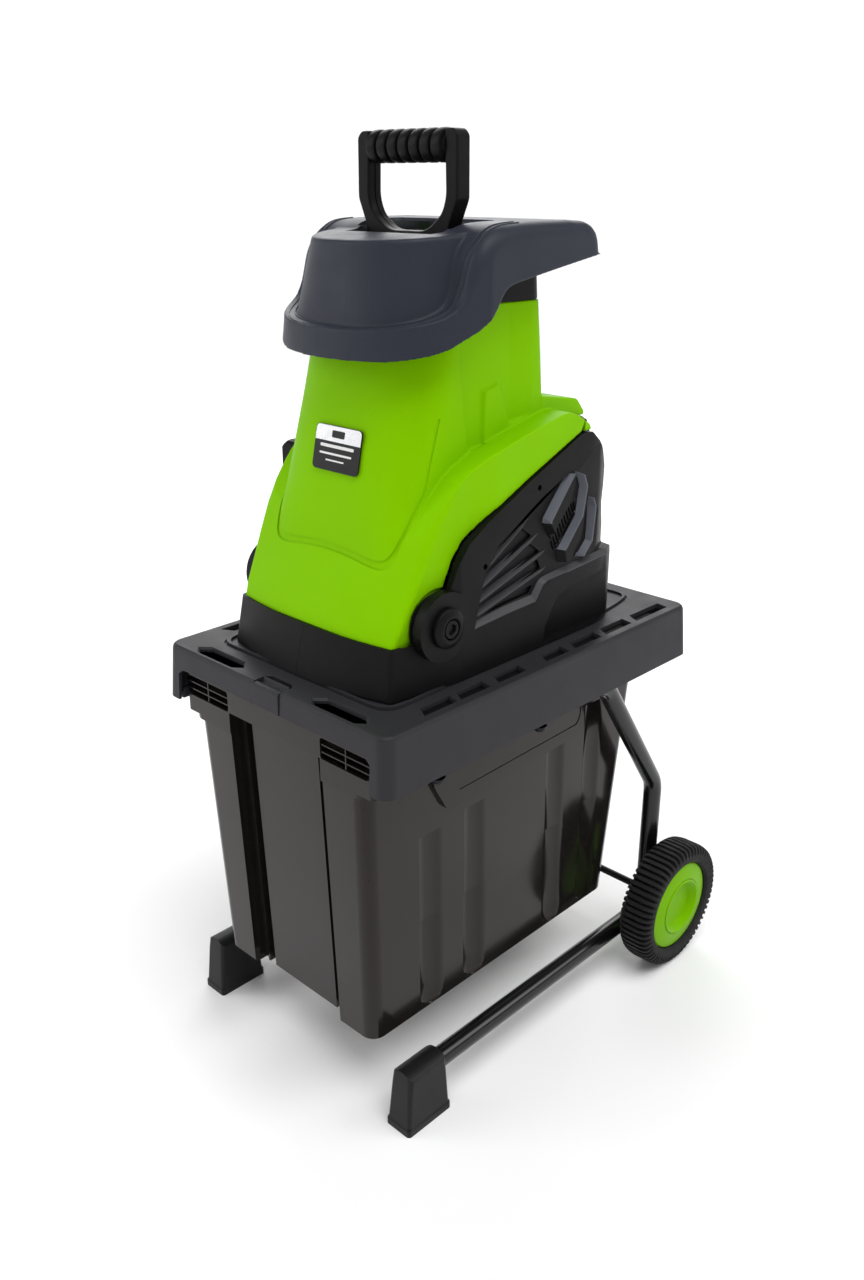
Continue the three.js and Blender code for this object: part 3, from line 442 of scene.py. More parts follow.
def foot():
    """A moulded boot with a flared sole, all its edges well rounded."""
    middle = TUBE["x"] + 2.5

    def plan(half, front, back, radius):
        return round_rect(middle - half, middle + half, front, back, radius, 5)

    levels = [(0, plan(17.4, -229, -165, 4)), (7.5, plan(17.4, -229, -165, 4))]
    levels += [(10, plan(16.2, -227.6, -166.6, 4)), (55, plan(14.6, -224, -168.5, 5))]
    levels += [(76, plan(14.2, -221, -170, 6))]
    roof = arc(middle, 52, 20, 0, 180, 16)
    made = keep(loft(levels), prism("y", [(middle + 20, -2)] + roof + [(middle - 20, -2)], -231, -163))
    return bevel(made, 1.6, 3, 28)


TYRE_RIBS = 62
TYRE_INNER_X = 173
# Points along a rib's pitch: the place, and whether the groove and the notch are cut there.
RIB_EDGES = [(0, 0, 0), (0.42, 0, 0), (0.5, 0, 1), (0.6, 1, 1), (0.88, 1, 1), (0.96, 0, 1)]


def tyre():
    """A solid tyre with transverse ribs that are narrower where they wrap over its shoulders."""
    profile = [(57.6, 5), (60, 1.5), (66, 0), (72, 0.4), (76, 1.8), (78.4, 4.4), (79.4, 8)]
    profile += [(80, 12), (80, 31), (79.4, 35), (78.4, 38.6), (76, 41.2), (72, 42.6)]
    profile += [(66, 43), (60, 41.5), (57.6, 38)]
    tread = [0, 0, 0, 0, 0, 3.6, 4.2, 4.2, 4.2, 4.2, 3.6, 0, 0, 0, 0, 0]
    shoulder = [0, 0, 1.2, 4.4, 6.2, 3.4, 1.2, 0, 0, 1.2, 3.4, 6.2, 4.4, 1.2, 0, 0]
    rings = []
    for rib in range(TYRE_RIBS):
        for part, groove, notch in RIB_EDGES:
            t = 2 * math.pi * (rib + part) / TYRE_RIBS
            ring = []
            for (r, h), deep, cut_back in zip(profile, tread, shoulder):
                r = r - deep * groove - cut_back * notch
                ring.append((TYRE_INNER_X + h, AXLE_Y + r * math.cos(t), WHEEL_RADIUS + r * math.sin(t)))
            rings.append(ring)
    return skin(rings, closed_loop=True)


def hub():
    """The lime ring between the tyre and the centre, dished towards the axle on its inner side."""
    profile = [(5, 175), (13, 175), (14, 189), (50, 186), (50, 179), (55, 177.5), (57, 179)]
    profile += [(57, 208.4), (56.2, 210), (54.4, 210.9), (38, 214.6), (36.6, 214), (36.4, 201)]
    profile += [(21, 197), (5, 196)]
    return turned("x", AXLE_Y, WHEEL_RADIUS, profile, 96)


def hub_cap():
    """The centre disc: a rounded rim round a deep dish."""
    profile = [(0, 203.6), (18, 203.6), (18, 200), (35, 202), (36.2, 203), (36.2, 214.3), (35.4, 215.2)]
    profile += [(34, 215.5), (32.4, 215), (26.4, 207), (24.6, 205.8), (12, 205.2), (0, 205.2)]
    return turned("x", AXLE_Y, WHEEL_RADIUS, profile, 96)


def dome_bolt(y):
    seat = TUBE["high"] - TUBE["radius"] - 0.3
    profile = [(0, seat - 7.2), (2.5, seat - 7), (5, seat - 6), (7, seat - 4), (8, seat - 1.6)]
    profile += [(8, seat), (3, seat), (3, 440), (0, 440)]
    return turned("z", TUBE["x"], y, profile, 32)


def sides(make, name, body, node, material, sharp=38):
    """Makes a piece for the right side and its mirror image for the left; node may be None."""
    right = make()
    left = copy_of(right, mirror=True)
    for side, obj in (("right", right), ("left", left)):
        nodes = [f"{node}_{side}"] if node else []
        place(obj, f"{name}_{side}", body.format(side), nodes, material, sharp)


def build_running_gear():
    sides(tube, "bent_tube", "chassis", "frame_tube", FRAME_PAINT)
    sides(foot, "end_foot", "chassis", "foot", FOOT_BLACK)
    sides(tyre, "ribbed_tyre", "wheel_{}", "tyre", TYRE, 30)
    sides(hub, "dished_hub", "wheel_{}", "wheel_hub", HUB_GREEN, 50)
    sides(hub_cap, "hub_centre", "wheel_{}", "hub_cap", HUB_GREEN, 50)
    for row, y in BOLT_ROWS.items():
        node = row + "_tube_bolt"
        sides(lambda y=y: dome_bolt(y), row + "_dome_bolt", "chassis", node, BLACKENED)
    axle = rod("x", AXLE_Y, WHEEL_RADIUS, 4.5, -203, 203, 32)
    place(axle, "axle_rod", "chassis", ["axle"], BLACKENED)


# ---- deck and latch

DECK = {"half_x": 169, "half_y": 245, "flare": 4, "top": 465, "bottom": 404, "plate": 5}
SIDE_SLOTS = [(-184, -138), (-134, -91), (-79, -36), (-4, 35), (45, 92), (100, 148), (157, 219)]


def slot_cut(outline, grow=1.6):
    """A through slot whose top edge is chamfered."""
    low = DECK["top"] - DECK["plate"] - 1
    middle = Vector((sum(a for a, b in outline), sum(b for a, b in outline))) / len(outline)

    def spread(by):
        points = []
        for corner in outline:
            away = Vector(corner) - middle
            points.append(tuple(Vector(corner) + away.normalized() * by))
        return points

    top = DECK["top"]
    return loft([(low, outline), (top - 2.2, outline), (top, spread(grow)), (top + 2, spread(grow + 1.2))])


def deck():
    def outline(extra):
        x, y = DECK["half_x"] + extra, DECK["half_y"] + extra
        return round_rect(-x, x, -y, y, 14, 8)

    top, bottom, flare = DECK["top"], DECK["bottom"], DECK["flare"]
    under = top - DECK["plate"]
    levels = [(bottom, outline(flare)), (top - 5, outline(0.6)), (top - 2, outline(-0.2))]
    levels += [(top - 0.6, outline(-1.4)), (top, outline(-3))]
    made = loft(levels)
    cut(made, loft([(bottom - 1, outline(flare - 3)), (under, outline(-4))]))
    for y in BOLT_ROWS.values():
        for x in (-TUBE["x"], TUBE["x"]):
            add(made, rod("z", x, y, 8, 417.5, under + 1, 24))
            cut(made, rod("z", x, y, 3.5, 410, 441.5, 24))
    opening = round_rect(-95, 95, -140, 100, 12)
    cut(made, prism("z", opening, under - 1, top + 1))
    window = [(-150, bottom - 2), (150, bottom - 2), (150, 434), (144, 440), (-144, 440), (-150, 434)]
    cut(made, prism("y", window, -262, -236))
    cut(made, block(-21.2, 21.2, -262, -229, 430, top + 3))
    notch = [(-21.2, -230), (21.2, -230), (15, -224.5), (-15, -224.5)]
    cut(made, prism("z", notch, under - 1, top + 1))
    for front, back in SIDE_SLOTS:
        outline_slot = [(143, front + 10), (157.4, front + 1.5), (157.4, back - 1.5), (143, back + 1.5)]
        cut(made, *both(slot_cut(outline_slot)))
    pocket = [(55, -231), (66, -239), (119, -239), (130, -231), (119, -222), (66, -222)]
    cut(made, *both(slot_cut(pocket, 3.4)))
    return made


def seam_ring(grow, wide, low, high):
    """A ring of the housing's foot, which narrows towards the rear."""

    def outline(extra):
        half = [(130, -206), (127, -77), (127, 82), (111, 190), (103, 220)]
        right = [(x + extra, y - extra if y < -200 else y + (extra if y > 200 else 0)) for x, y in half]
        return rounded(right + [(-x, y) for x, y in right[::-1]], [26, 20, 30, 40, 22] * 2, 8)

    ring = prism("z", outline(grow + wide), low, high)
    return cut(ring, prism("z", outline(grow), low - 1, high + 1))


def latch():
    wave = [(-247.5, 461), (-246, 463.6), (-241, 464.2), (-237, 461.2), (-234, 461), (-231.5, 466.4)]
    outline = [(-247.8, 440), (-230.5, 440)] + wave[::-1]
    return bevel(prism("x", outline, -20, 20), 0.9, 2, 35)


def rail_hook():
    outline = [(-243, 403), (-229, 403), (-229, 415), (-240, 415), (-243, 411)]
    return bevel(prism("x", outline, 150.5, 157), 1.2, 2)


def build_deck():
    made = deck()
    cut(made, seam_ring(0, 1.5, DECK["top"] - 2, DECK["top"] + 1))
    add(made, *both(rail_hook()))
    bevel(made, 0.7, 2, 32)
    place(made, "deck_moulding", "chassis", ["deck"], CHARCOAL)
    flange = seam_ring(-3.4, 3, DECK["top"] - 1, DECK["top"] + 2.6)
    place(bevel(flange, 0.8, 2), "deck_flange", "chassis", [], CHARCOAL)
    place(latch(), "latch_slider", "latch", ["box_latch"], CHARCOAL)


# ---- collection box

# Heights of the box, each with its half width, front and back.
BOX = {"bottom": (88, 124, -227, 175), "band": (387, 132, -239, 202), "rim": (404, 140, -240, 205)}


def box_plan(z, inset=0.0, radius=16):
    """The box's plan at a height, from its bottom to its band."""
    (z0, x0, f0, b0), (z1, x1, f1, b1) = BOX["bottom"], BOX["band"]
    t = (z - z0) / (z1 - z0)
    x = x0 + (x1 - x0) * t - inset
    front, back = f0 + (f1 - f0) * t + inset, b0 + (b1 - b0) * t - inset
    return round_rect(-x, x, front, back, radius - inset, 8)


# Each flute: y at its top, y at its foot, and the height of its top.
FLUTES = [(-147, -138, 312), (-80, -70, 318), (54, 68, 352), (123, 133, 368)]
SCOOP = [(0, 0), (0.04, 0.7), (0.16, 1), (0.35, 1.02), (0.6, 0.8), (0.82, 0.45), (1, 0)]


def flute(top_y, bottom_y, top_z, grow=0.0):
    """A scooped channel in the right-hand wall that gets deeper part-way down and ends round."""
    (z0, x0, _, _), (z1, x1, _, _) = BOX["bottom"], BOX["band"]

    def plan(z, half, depth):
        t = (z - z0) / (top_z - z0)
        middle = bottom_y + (top_y - bottom_y) * t
        x = x0 + (x1 - x0) * (z - z0) / (z1 - z0)
        front, back = middle - half - grow, middle + half + grow
        scoop = [(x - grow - depth * d, front + (back - front) * f) for f, d in SCOOP]
        return [(x + 6, front)] + scoop + [(x + 6, back)]

    step = z0 + (top_z - z0) * 0.52
    upper = loft([(step - 4, plan(step - 4, 17.5, 4.6)), (top_z + grow, plan(top_z + grow, 17, 4.2))])
    low = [(91 - grow, 3, 0.5), (93 - grow, 9, 3), (97 - grow, 14.5, 5), (104, 18, 6.4), (114, 19, 7)]
    low += [(step + grow, 18.4, 7)]
    return add(upper, loft([(z, plan(z, half, depth)) for z, half, depth in low]))


def collection_box():
    made = loft([(88, box_plan(88, 3, 16)), (91, box_plan(91)), (387, box_plan(387))])
    z_rim, x_rim, front, back = BOX["rim"]
    add(made, prism("z", round_rect(-x_rim, x_rim, front - 0.6, back, 18, 8), 386.5, z_rim))
    add(made, prism("z", round_rect(-134, 134, front + 1, back, 16, 8), z_rim - 0.5, 436))
    lip = round_rect(-143, 143, -219, back, 14, 8)
    add(made, prism("z", lip, 409, 413))
    add(made, prism("z", round_rect(-147, 147, -240.6, -228, 5, 4), 392, 436.4))
    # The middle of the front is set back behind its two corner columns.
    cut(made, front_tool(-72, 72, 80, 411, -260, 13))
    inside = loft([(91, box_plan(91, 3)), (404, box_plan(404, 4)), (438, box_plan(438, 4))])
    cut(inside, front_tool(-76, 76, 60, 460, -245, 24))
    for flute_facts in FLUTES:
        cut(inside, *both(flute(*flute_facts, 2.6)))
    cut(made, inside)
    for near, far, deep in ((52.5, 63, 21), (66, 73, 16)):
        cut(made, *both(front_tool(-far, -near, 84, 400, -240, deep)))
    add(made, prism("y", [(-70, 412), (70, 412), (70, 436.4), (-70, 436.4)], -240.6, -236.5))
    for flute_facts in FLUTES:
        cut(made, *both(flute(*flute_facts)))
    grips(made)
    side_panels(made)
    return bevel(made, 0.9, 2, 30)


def front_tool(x0, x1, low, high, front, deep):
    """A block whose back face leans with the box's front wall, at a depth behind it."""
    (z0, _, y0, _), (z1, _, y1, _) = BOX["bottom"], BOX["band"]
    back = {z: y0 + deep + (y1 - y0) * (z - z0) / (z1 - z0) for z in (low, high)}
    outline = [(x0, low), (x1, low), (x1, high), (x0, high)]
    return skin([[(x, front, z) for x, z in outline], [(x, back[z], z) for x, z in outline]])


def grips(made):
    """Two finger pockets in the front rim, each with a rounded far end and a fine cross of ribs."""
    pocket = rounded([(73, 411), (139, 411), (146, 417), (146, 430), (142, 434), (73, 434)], 4, 4)
    cut(made, *both(prism("y", pocket, -250, -231.4)))
    for low, high in ((417.4, 418.8), (425.4, 426.8)):
        add(made, *both(block(72, 145, -239.6, -231, low, high)))
    add(made, *both(block(107.6, 109.2, -239.6, -231, 410, 434.5)))


def side_panels(made):
    """The raised grip panel under the deck on each long side."""
    outline = [(-150, 369), (-128, 331), (90, 340), (97, 350), (97, 403), (-150, 403)]
    panel = prism("x", rounded(outline, [8, 8, 8, 4, 1, 1], 4), 120, 136.5)
    inner = rounded([(-126, 376), (-112, 349), (84, 354), (90, 362), (90, 398), (-126, 398)], 3, 3)
    cut(panel, prism("x", inner, 135.7, 140))
    cut(panel, block(110, 127, -160, 110, 320, 405))
    add(made, *both(panel))


def build_box():
    place(collection_box(), "waste_box", "box", ["collection_box"], GLOSS, 30)


# ---- lower housing

PIVOT = (-128, 530)
LEDGE_Z = 548  # where the wider lower part of the housing ends
SPLIT = [(-119, 561), (-108, 588), (-95, 605), (-67, 621), (-3, 650), (81, 685)]


def bowed(half_x, middle, corner, radius, steps=16):
    """The front edge of a plan, from left to right, bowed out in the middle."""
    made = [(-half_x, corner + radius)]
    made += arc(-half_x + radius, corner + radius, radius, 190, 262, 4)
    for k in range(1, steps):
        t = 2 * k / steps - 1
        made.append((t * (half_x - radius), middle + (corner - middle) * abs(t) ** 2.2))
    made += arc(half_x - radius, corner + radius, radius, 278, 350, 4)
    return made + [(half_x, corner + radius)]


# The rear corner of the plan, from the side round to the back, below and above the ledge.
LOW_CORNER = [(130.4, 90), (129.5, 120), (125.5, 138), (119, 152), (110, 166), (98, 178)]
HIGH_CORNER = [(129, 90), (125, 115), (118, 132), (110, 147), (104, 165), (94, 180)]
REAR_END = [(75, 190), (40, 195)]


def housing_plan(z, inset=0.0):
    """The housing's plan at a height: its front leans back from the deck up to its lip."""
    t = min(1, max(0, (z - 466) / 51))
    half, middle, corner = 120 - 5 * t, -208 + 13.5 * t, -192 + 7.5 * t
    made = bowed(half - inset, middle + inset, corner + inset, 5)
    right = [(130.5 - inset, -104), (130.5 - inset, 60)]
    corner_line = (LOW_CORNER if z < LEDGE_Z else HIGH_CORNER) + REAR_END
    right += [(x - inset, y - inset * (y - 60) / 135) for x, y in corner_line]
    return made + right + [(0, 196 - inset)] + [(-x, y) for x, y in right[::-1]]


# Lines of the housing's side, as (y, z): the ledge's top edge and the foot of its facet, the band
# above the louvres, and each louvre fin from its front end to its rear end.
LEDGE = [(-81, 521), (-35, 525), (8, 526), (17, 538), (23, 541.5), (55, 544), (133, 549), (170, 551)]
LEDGE_FOOT = [(-86, 515), (-33, 518), (9, 519), (21, 535), (29, 538), (55, 539), (132, 544), (170, 546)]
BAND = [(112, 669), (91, 660), (51, 644), (16, 630), (-17, 615), (-51, 595), (-60, 583), (-71, 569)]
BAND += [(-76, 553)]
BLADES = [((-64, 577), (-1, 611)), ((-72, 558), (14, 591))]
BLADES += [((-77, 543), (28, 571)), ((-81, 529), (30, 552))]
FIELD_X = 124.6  # half width of the sunk field behind the grille


def housing_half():
    """The right-hand half, made over the whole width and then split at x = 0."""
    rear = [(98, 684), (126, 664), (146, 637), (144, 618), (137, 600), (141, 586), (147, 572)]
    rear += [(147, 552), (160, 541), (184, 520), (192, 503), (204, 466)]
    ring = arc(PIVOT[0], PIVOT[1], 35, 200, 96, 14)
    side = [(-212, 466), (-196, 517), (-163, 517)] + ring + [(y, z - 0.6) for y, z in SPLIT] + rear
    outer = keep(
        loft([(z, housing_plan(z)) for z in (466, 517, 547, 549, 700)]),
        prism("x", side, 0, 140),
        prism("y", [(-1, 460), (132, 460), (132, 575), (126.5, 700), (-1, 700)], -230, 230),
    )
    inner_side = [(-218, 455), (-190, 517.4), (-190, 760), (93, 760), (93, 681), (127, 659)]
    inner_side += [(146, 632), (134, 597), (144, 571), (144, 548), (182, 512), (200, 455)]
    inner = keep(
        loft([(z, housing_plan(z, 2.4)) for z in (450, 466, 517, 545.8, 548, 770)]),
        prism("x", inner_side, -5, 140),
        prism("y", [(-9, 450), (117, 450), (121.5, 500), (121.5, 765), (-9, 765)], -230, 230),
    )
    cut(outer, inner)
    # Room for the head's cheeks when it tilts, as (x, radius about the pivot).
    room = ((108, 46), (115.4, 46), (116.9, 40.5))
    cut(outer, skin([[(x, y, z) for y, z in circle(*PIVOT, radius, 64)] for x, radius in room]))
    louvre_field(outer)
    rear_step = [(24, 470), (26, 487), (39, 509), (51, 520), (100, 525), (220, 534), (220, 470)]
    rear_step = rounded(rear_step, [1, 4, 8, 8, 2, 1, 1], 4)
    leaning = [(122 + (z - 470) * 0.07, y, z) for y, z in rear_step]
    cut(outer, skin([leaning, [(140, y, z) for y, z in rear_step]]))
    # The corner that closes the gap under the head's rear lugs.
    low = [(34, 108), (116, 108), (116, 114), (106, 126), (34, 127)]
    high = [(34, 108), (111, 107.5), (111, 108.5), (94, 121), (34, 121.5)]
    add(outer, loft([(668, low), (693.1, high)]))
    add(outer, rod("x", *PIVOT, 35, 121.5, 132.4, 64))
    cut(outer, rod("x", *PIVOT, 4.6, 110, 140, 24))
    for y, z in ((11, 640.5), (-71, 577)):
        cut(outer, rod("x", y, z, 3, 119, 140, 24))
    cut(outer, block(-10, 0.15, -230, 230, 440, 720))
    return bevel(outer, 0.8, 2, 32)


FIN = [(119, 3.4), (128.9, -0.6), (129.3, -1.4), (129.3, -3.6), (124, -7.4), (119, -7.4)]
# The section of the grey strip of painted highlight that lies on each fin's upper facet.
FIN_HIGHLIGHT_STRIP = [(121.5, 2.9), (129.2, -0.3), (129.5, -1.3), (121.5, 1.6)]


def blade(start, end, section=FIN):
    """A louvre fin with a broad upper facet, thinner towards its rear end."""
    run = (Vector(end) - Vector(start)).normalized()
    up = Vector((-run.y, run.x))
    rings = []
    for point, size, reach in ((start, 1.0, -4), (end, 0.55, -12), (end, 0.1, 1)):
        at = Vector(point) + run * reach
        ring = []
        for x, rise in section:
            out = FIELD_X + (x - FIELD_X) * (size if x > FIELD_X else 1)
            spot = at + up * rise * size
            ring.append((out, spot.x, spot.y))
        rings.append(ring)
    return skin(rings)


def louvre_field(outer):
    """Sinks the field between the split line's band and the ledge, and opens its fanned louvres."""
    upper = BAND + LEDGE + [(170, 669)]
    lower = BAND + LEDGE_FOOT + [(170, 669)]
    cut(outer, skin([[(FIELD_X, y, z) for y, z in upper], [(131.4, y, z) for y, z in lower]]))
    above = ((-54, 590), (0, 616))
    for (a0, a1), (b0, b1) in zip([above] + BLADES, BLADES):
        gap = [(a0[0] + 2, a0[1] - 5.5), (a1[0] - 12, a1[1] - 7)]
        gap += [(b1[0] - 8, b1[1]), (b0[0] + 1, b0[1] + 0.5)]
        cut(outer, prism("x", rounded(gap, [1, 3, 3, 1], 3), 117, 140))
    last = [(-78, 523.5), (-35, 527), (4, 529), (10, 537), (-10, 537), (-68, 527)]
    cut(outer, prism("x", rounded(last, 1, 2), 117, 140))
    add(outer, *[blade(*ends) for ends in BLADES])
    for k in range(10):
        t = k / 9
        y, z = 39 + 31 * t, 574 + 35 * t
        slit = [(y + 2.2, z - 7), (y + 4, z - 6), (y - 0.8, z + 5), (y - 2.6, z + 4)]
        cut(outer, prism("x", slit, 117, 140))


def pivot_washer():
    profile = [(4.4, 132.8), (20, 132.8), (20.4, 133.4), (20.4, 136.6), (19.8, 137.8), (14.6, 140.4)]
    profile += [(11.8, 140.6), (10.8, 139.9), (10.6, 136), (4.4, 136)]
    return turned("x", *PIVOT, profile, 64)


def pivot_bolt():
    profile = [(0, 101), (7.4, 101), (7.4, 107.5), (4, 107.5), (4, 136.2), (9, 136.2), (9.6, 137)]
    profile += [(9.6, 139.2), (8.8, 140), (5.6, 140), (5, 139.4), (5, 137.2), (0, 137.2)]
    return turned("x", *PIVOT, profile, 48)


# Each cranked bar: its lit front edge where it rises from the field, the crest of that facet,
# and its rear edge, from top to bottom.
BARS = [
    (
        [(60, 646), (50, 637), (23, 606), (22, 601), (32, 585)],
        [(64, 646), (53.5, 634), (27, 602), (28, 600), (35, 589)],
        [(66, 644), (65, 634), (58, 615), (37, 596), (37, 593)],
    ),
    (
        [(73, 646), (80, 630), (75, 599), (50, 572), (46, 568), (50, 552)],
        [(80, 642), (86, 629), (80, 597), (54, 567), (53, 566), (57, 552)],
        [(84, 640), (90, 622), (84, 598), (80, 577), (72, 566), (63, 552)],
    ),
    (
        [(92, 616), (98, 606), (95, 568), (82, 556), (80, 552)],
        [(98, 614), (103, 604), (99, 566), (88, 555), (86, 552)],
        [(102, 612), (108, 600), (107, 566), (104, 558), (100, 552)],
    ),
]
BAR_X = 132.4


def side_grille():
    """Three cranked bars with a sloping lit facet, on a thin backing plate."""
    backing = [(30, 590), (26, 604), (56, 636), (76, 640), (96, 606), (97, 567), (84, 556), (56, 557)]
    low = FIELD_X + 0.3
    made = prism("x", backing, low, low + 1.2)
    comb = [(34, 577), (36, 572), (52, 574), (76, 602), (73, 614), (64, 613)]
    cut(made, prism("x", comb, 120, 140))
    for edge, crest, rear in BARS:
        foot_ring = [(low, y, z) for y, z in edge + rear[::-1]]
        crest_ring = [(BAR_X, y, z) for y, z in crest + rear[::-1]]
        add(made, skin([foot_ring, crest_ring]))
    return bevel(made, 0.35, 1, 30)


def painted_shade_screen():
    """A thin black sheet behind the louvres that stands in for the shade inside the housing: painted shade.
    """
    outline = [(-79, 524), (34, 524), (32, 560), (8, 611), (-52, 588), (-76, 560)]
    return prism("x", outline, 119.8, 121.6)


STRIP_LIFT, STRIP_DEPTH = 0.5, 0.7


def strip(outer_line, inner_line, outer_x, inner_x):
    """A thin strip that lies on a sloping facet between two (y, z) lines, carrying painted highlight."""
    rings = []
    for (y0, z0), (y1, z1) in zip(inner_line, outer_line):
        ring = [(inner_x, y0, z0 + STRIP_LIFT), (outer_x, y1, z1 + STRIP_LIFT)]
        rings.append(ring + [(outer_x, y1, z1 - STRIP_DEPTH), (inner_x, y0, z0 - STRIP_DEPTH)])
    return skin(rings)


def painted_bar_highlights():
    """A lighter grey strip on the front facet of each cranked bar: a painted highlight where light falls on
    the black bar.
    """
    low = FIELD_X + 0.3
    pieces = []
    for (edge, crest, _), count in zip(BARS, (4, 5, 5)):
        rings = []
        for (y0, z0), (y1, z1) in zip(edge[:count], crest[:count]):
            ring = [(low, y0 - 0.3, z0), (BAR_X + 0.2, y1 - 0.3, z1), (BAR_X + 0.2, y1 + 1.6, z1)]
            rings.append(ring + [(low, y0 + 1.2, z0)])
        pieces.append(skin(rings))
    return add(pieces[0], *pieces[1:])


def painted_fin_highlights():
    """Grey strips on the upper facets of the louvre fins and of the ledge below them: painted highlight
    where light falls on the black housing.
    """
    ledge = LEDGE[:7]
    reach = 0.86  # how far down the facet the strip goes
    pairs = zip(ledge, LEDGE_FOOT)
    outer_line = [(y0 + (y1 - y0) * reach, z0 + (z1 - z0) * reach) for (y0, z0), (y1, z1) in pairs]
    made = strip(outer_line, ledge, 130.5, FIELD_X + 0.2)
    return add(made, *[blade(*ends, FIN_HIGHLIGHT_STRIP) for ends in BLADES])


def build_housing():
    sides(housing_half, "housing_half", "chassis", "lower_housing", BLACK, 30)
    sides(side_grille, "accent_grille", "chassis", "side_grille", BLACK, 30)
    # Grey strips of painted highlight on the bars' front facets.
    sides(painted_bar_highlights, "painted_bar_highlights", "chassis", None, BAR_HIGHLIGHT_PAINT, 30)
    # Grey strips of painted highlight on the fins' and ledge's upper facets.
    sides(painted_fin_highlights, "painted_fin_highlights", "chassis", None, FIN_HIGHLIGHT_PAINT, 30)
    # A black sheet of painted shade behind the louvre openings.
    sides(painted_shade_screen, "painted_shade_screen", "chassis", None, BLACK, 30)
    sides(pivot_washer, "pivot_boss", "chassis", "pivot_washer", BLACK, 45)
    sides(pivot_bolt, "pivot_screw", "chassis", "pivot_bolt", BLACK, 45)


# ---- tilting head

TOWER = [  # z, half width, side's front end, front, back, squareness of the front
    (560, 98, -112, -163, 80, 7),
    (590, 97.5, -108, -158, 74, 6),
    (612, 97.2, -104, -154.5, 70, 4.8),
    (640, 96.6, -100, -149.5, 66, 3.6),
    (684, 96, -90, -142, 60, 2.9),
    (730, 95, -82, -130, 57, 2.6),
    (772, 94, -75, -118, 54, 2.5),
    (818, 93, -68, -107, 50, 2.5),
]


def nose(half_x, side_y, front_y, power, steps=24):
    made = []
    for k in range(steps + 1):
        t = math.pi + math.pi * k / steps
        c, s = math.cos(t), math.sin(t)
        x = half_x * math.copysign(abs(c) ** (2 / power), c)
        made.append((x, side_y - (side_y - front_y) * abs(s) ** (2 / power)))
    return made


def tower(inset=0.0, grow=0.0):
    levels = []
    for i, (z, half_x, side_y, front, back, power) in enumerate(TOWER):
        x = half_x - inset
        plan = nose(x, side_y, front + inset, power, 36)
        plan += arc(x - 10, back - inset - 10, 10, 0, 90, 5)
        plan += arc(10 - x, back - inset - 10, 10, 90, 180, 5)
        levels.append((z + (grow if i == len(TOWER) - 1 else 0), plan))
    return loft(levels)


BODY = [  # z, half width of the front, middle, corner, corner radius
    (500, 112, -193, -184, 3),
    (517, 112.2, -189.8, -181.4, 3),
    (531, 115, -184.4, -176, 4),
    (558, 117.4, -173, -164.6, 7),
    (584, 119.4, -160.5, -153.6, 9),
    (610, 120.6, -149, -142.8, 11),
    (632, 121.2, -136.5, -131.4, 13),
    (654, 121.6, -122, -118.5, 16),
    (720, 121.6, -100, -98, 20),
]
SIDE_X = 125  # half width behind the pivots


def body(inset=0.0):
    levels = []
    for z, half_x, middle, corner, radius in BODY:
        plan = bowed(half_x - inset, middle + inset, corner + inset, radius)
        right = [(half_x - inset, -86), (SIDE_X - inset, -48), (SIDE_X - inset, 130)]
        plan += right + [(-x, y) for x, y in right[::-1]]
        levels.append((z, plan))
    return loft(levels)


SHOULDER = [(96, 685.4), (98.8, 687), (96, 692), (77, 703.5), (62, 708.5), (50, 707.5), (30, 703.5)]
SHOULDER += [(-23, 692), (-60, 682), (-85, 671.5), (-99, 663), (-112, 650.5), (-125, 636), (-146, 610)]
SHOULDER += [(-215, 520)]


def head_shell():
    seat = [(y, z + 0.6) for y, z in SPLIT]
    side = [(-210, 510), (-112, 510), (-104, 530), (-110, 548)] + seat + SHOULDER[:-1] + [(-215, 600)]
    lower = keep(body(), prism("x", side, -130, 130))
    bevel(lower, 3.2, 3, 34)
    add(lower, tower())
    lug = [(60, 678), (97, 692.6), (126, 665), (130, 669), (101, 699), (60, 712)]
    add(lower, prism("x", lug, -32, 32))
    ear = [(50, 690), (97, 693.9), (123, 693.9), (124.5, 697.5), (111, 713), (50, 723)]
    add(lower, *both(bevel(prism("x", rounded(ear, [1, 1, 1, 2, 4, 1], 4), 30, 96), 1.5, 3, 40)))
    side_relief(lower)
    made = melt(lower, 1.2, 3)
    crease = keep(cut(tower(-0.8), tower(0.9)), cut(body(-1.2), body(1.2)))
    cut(made, crease)
    inner_side = [(120, 470), (120, 675), (60, 703), (30, 697), (-23, 684), (-60, 675), (-85, 665)]
    inner_side += [(-99, 656), (-125, 631), (-146, 605), (-215, 594), (-215, 470)]
    inside = keep(body(3), prism("x", inner_side, -130, 130))
    seat_cut = prism("x", seat + [(88, 700), (88, 470), (-119, 470)], -135, 135)
    cut(made, inside, tower(9, 6), seat_cut)
    cut(made, prism("x", [(-220, 490), (150, 490), (150, 510), (-220, 510)], -135, 135))
    cut(made, prism("y", [(-110, 817.8), (110, 817.8), (110, 840), (-110, 840)], -200, 100))
    cut(made, *both(rod("x", *PIVOT, 36.2, 115, 140, 64)))
    cut(made, rod("x", *PIVOT, 4.8, -135, 135, 24))
    cut(made, at_lock(rod("z", 0, 0, 5, -14, 14, 24)))
    return made


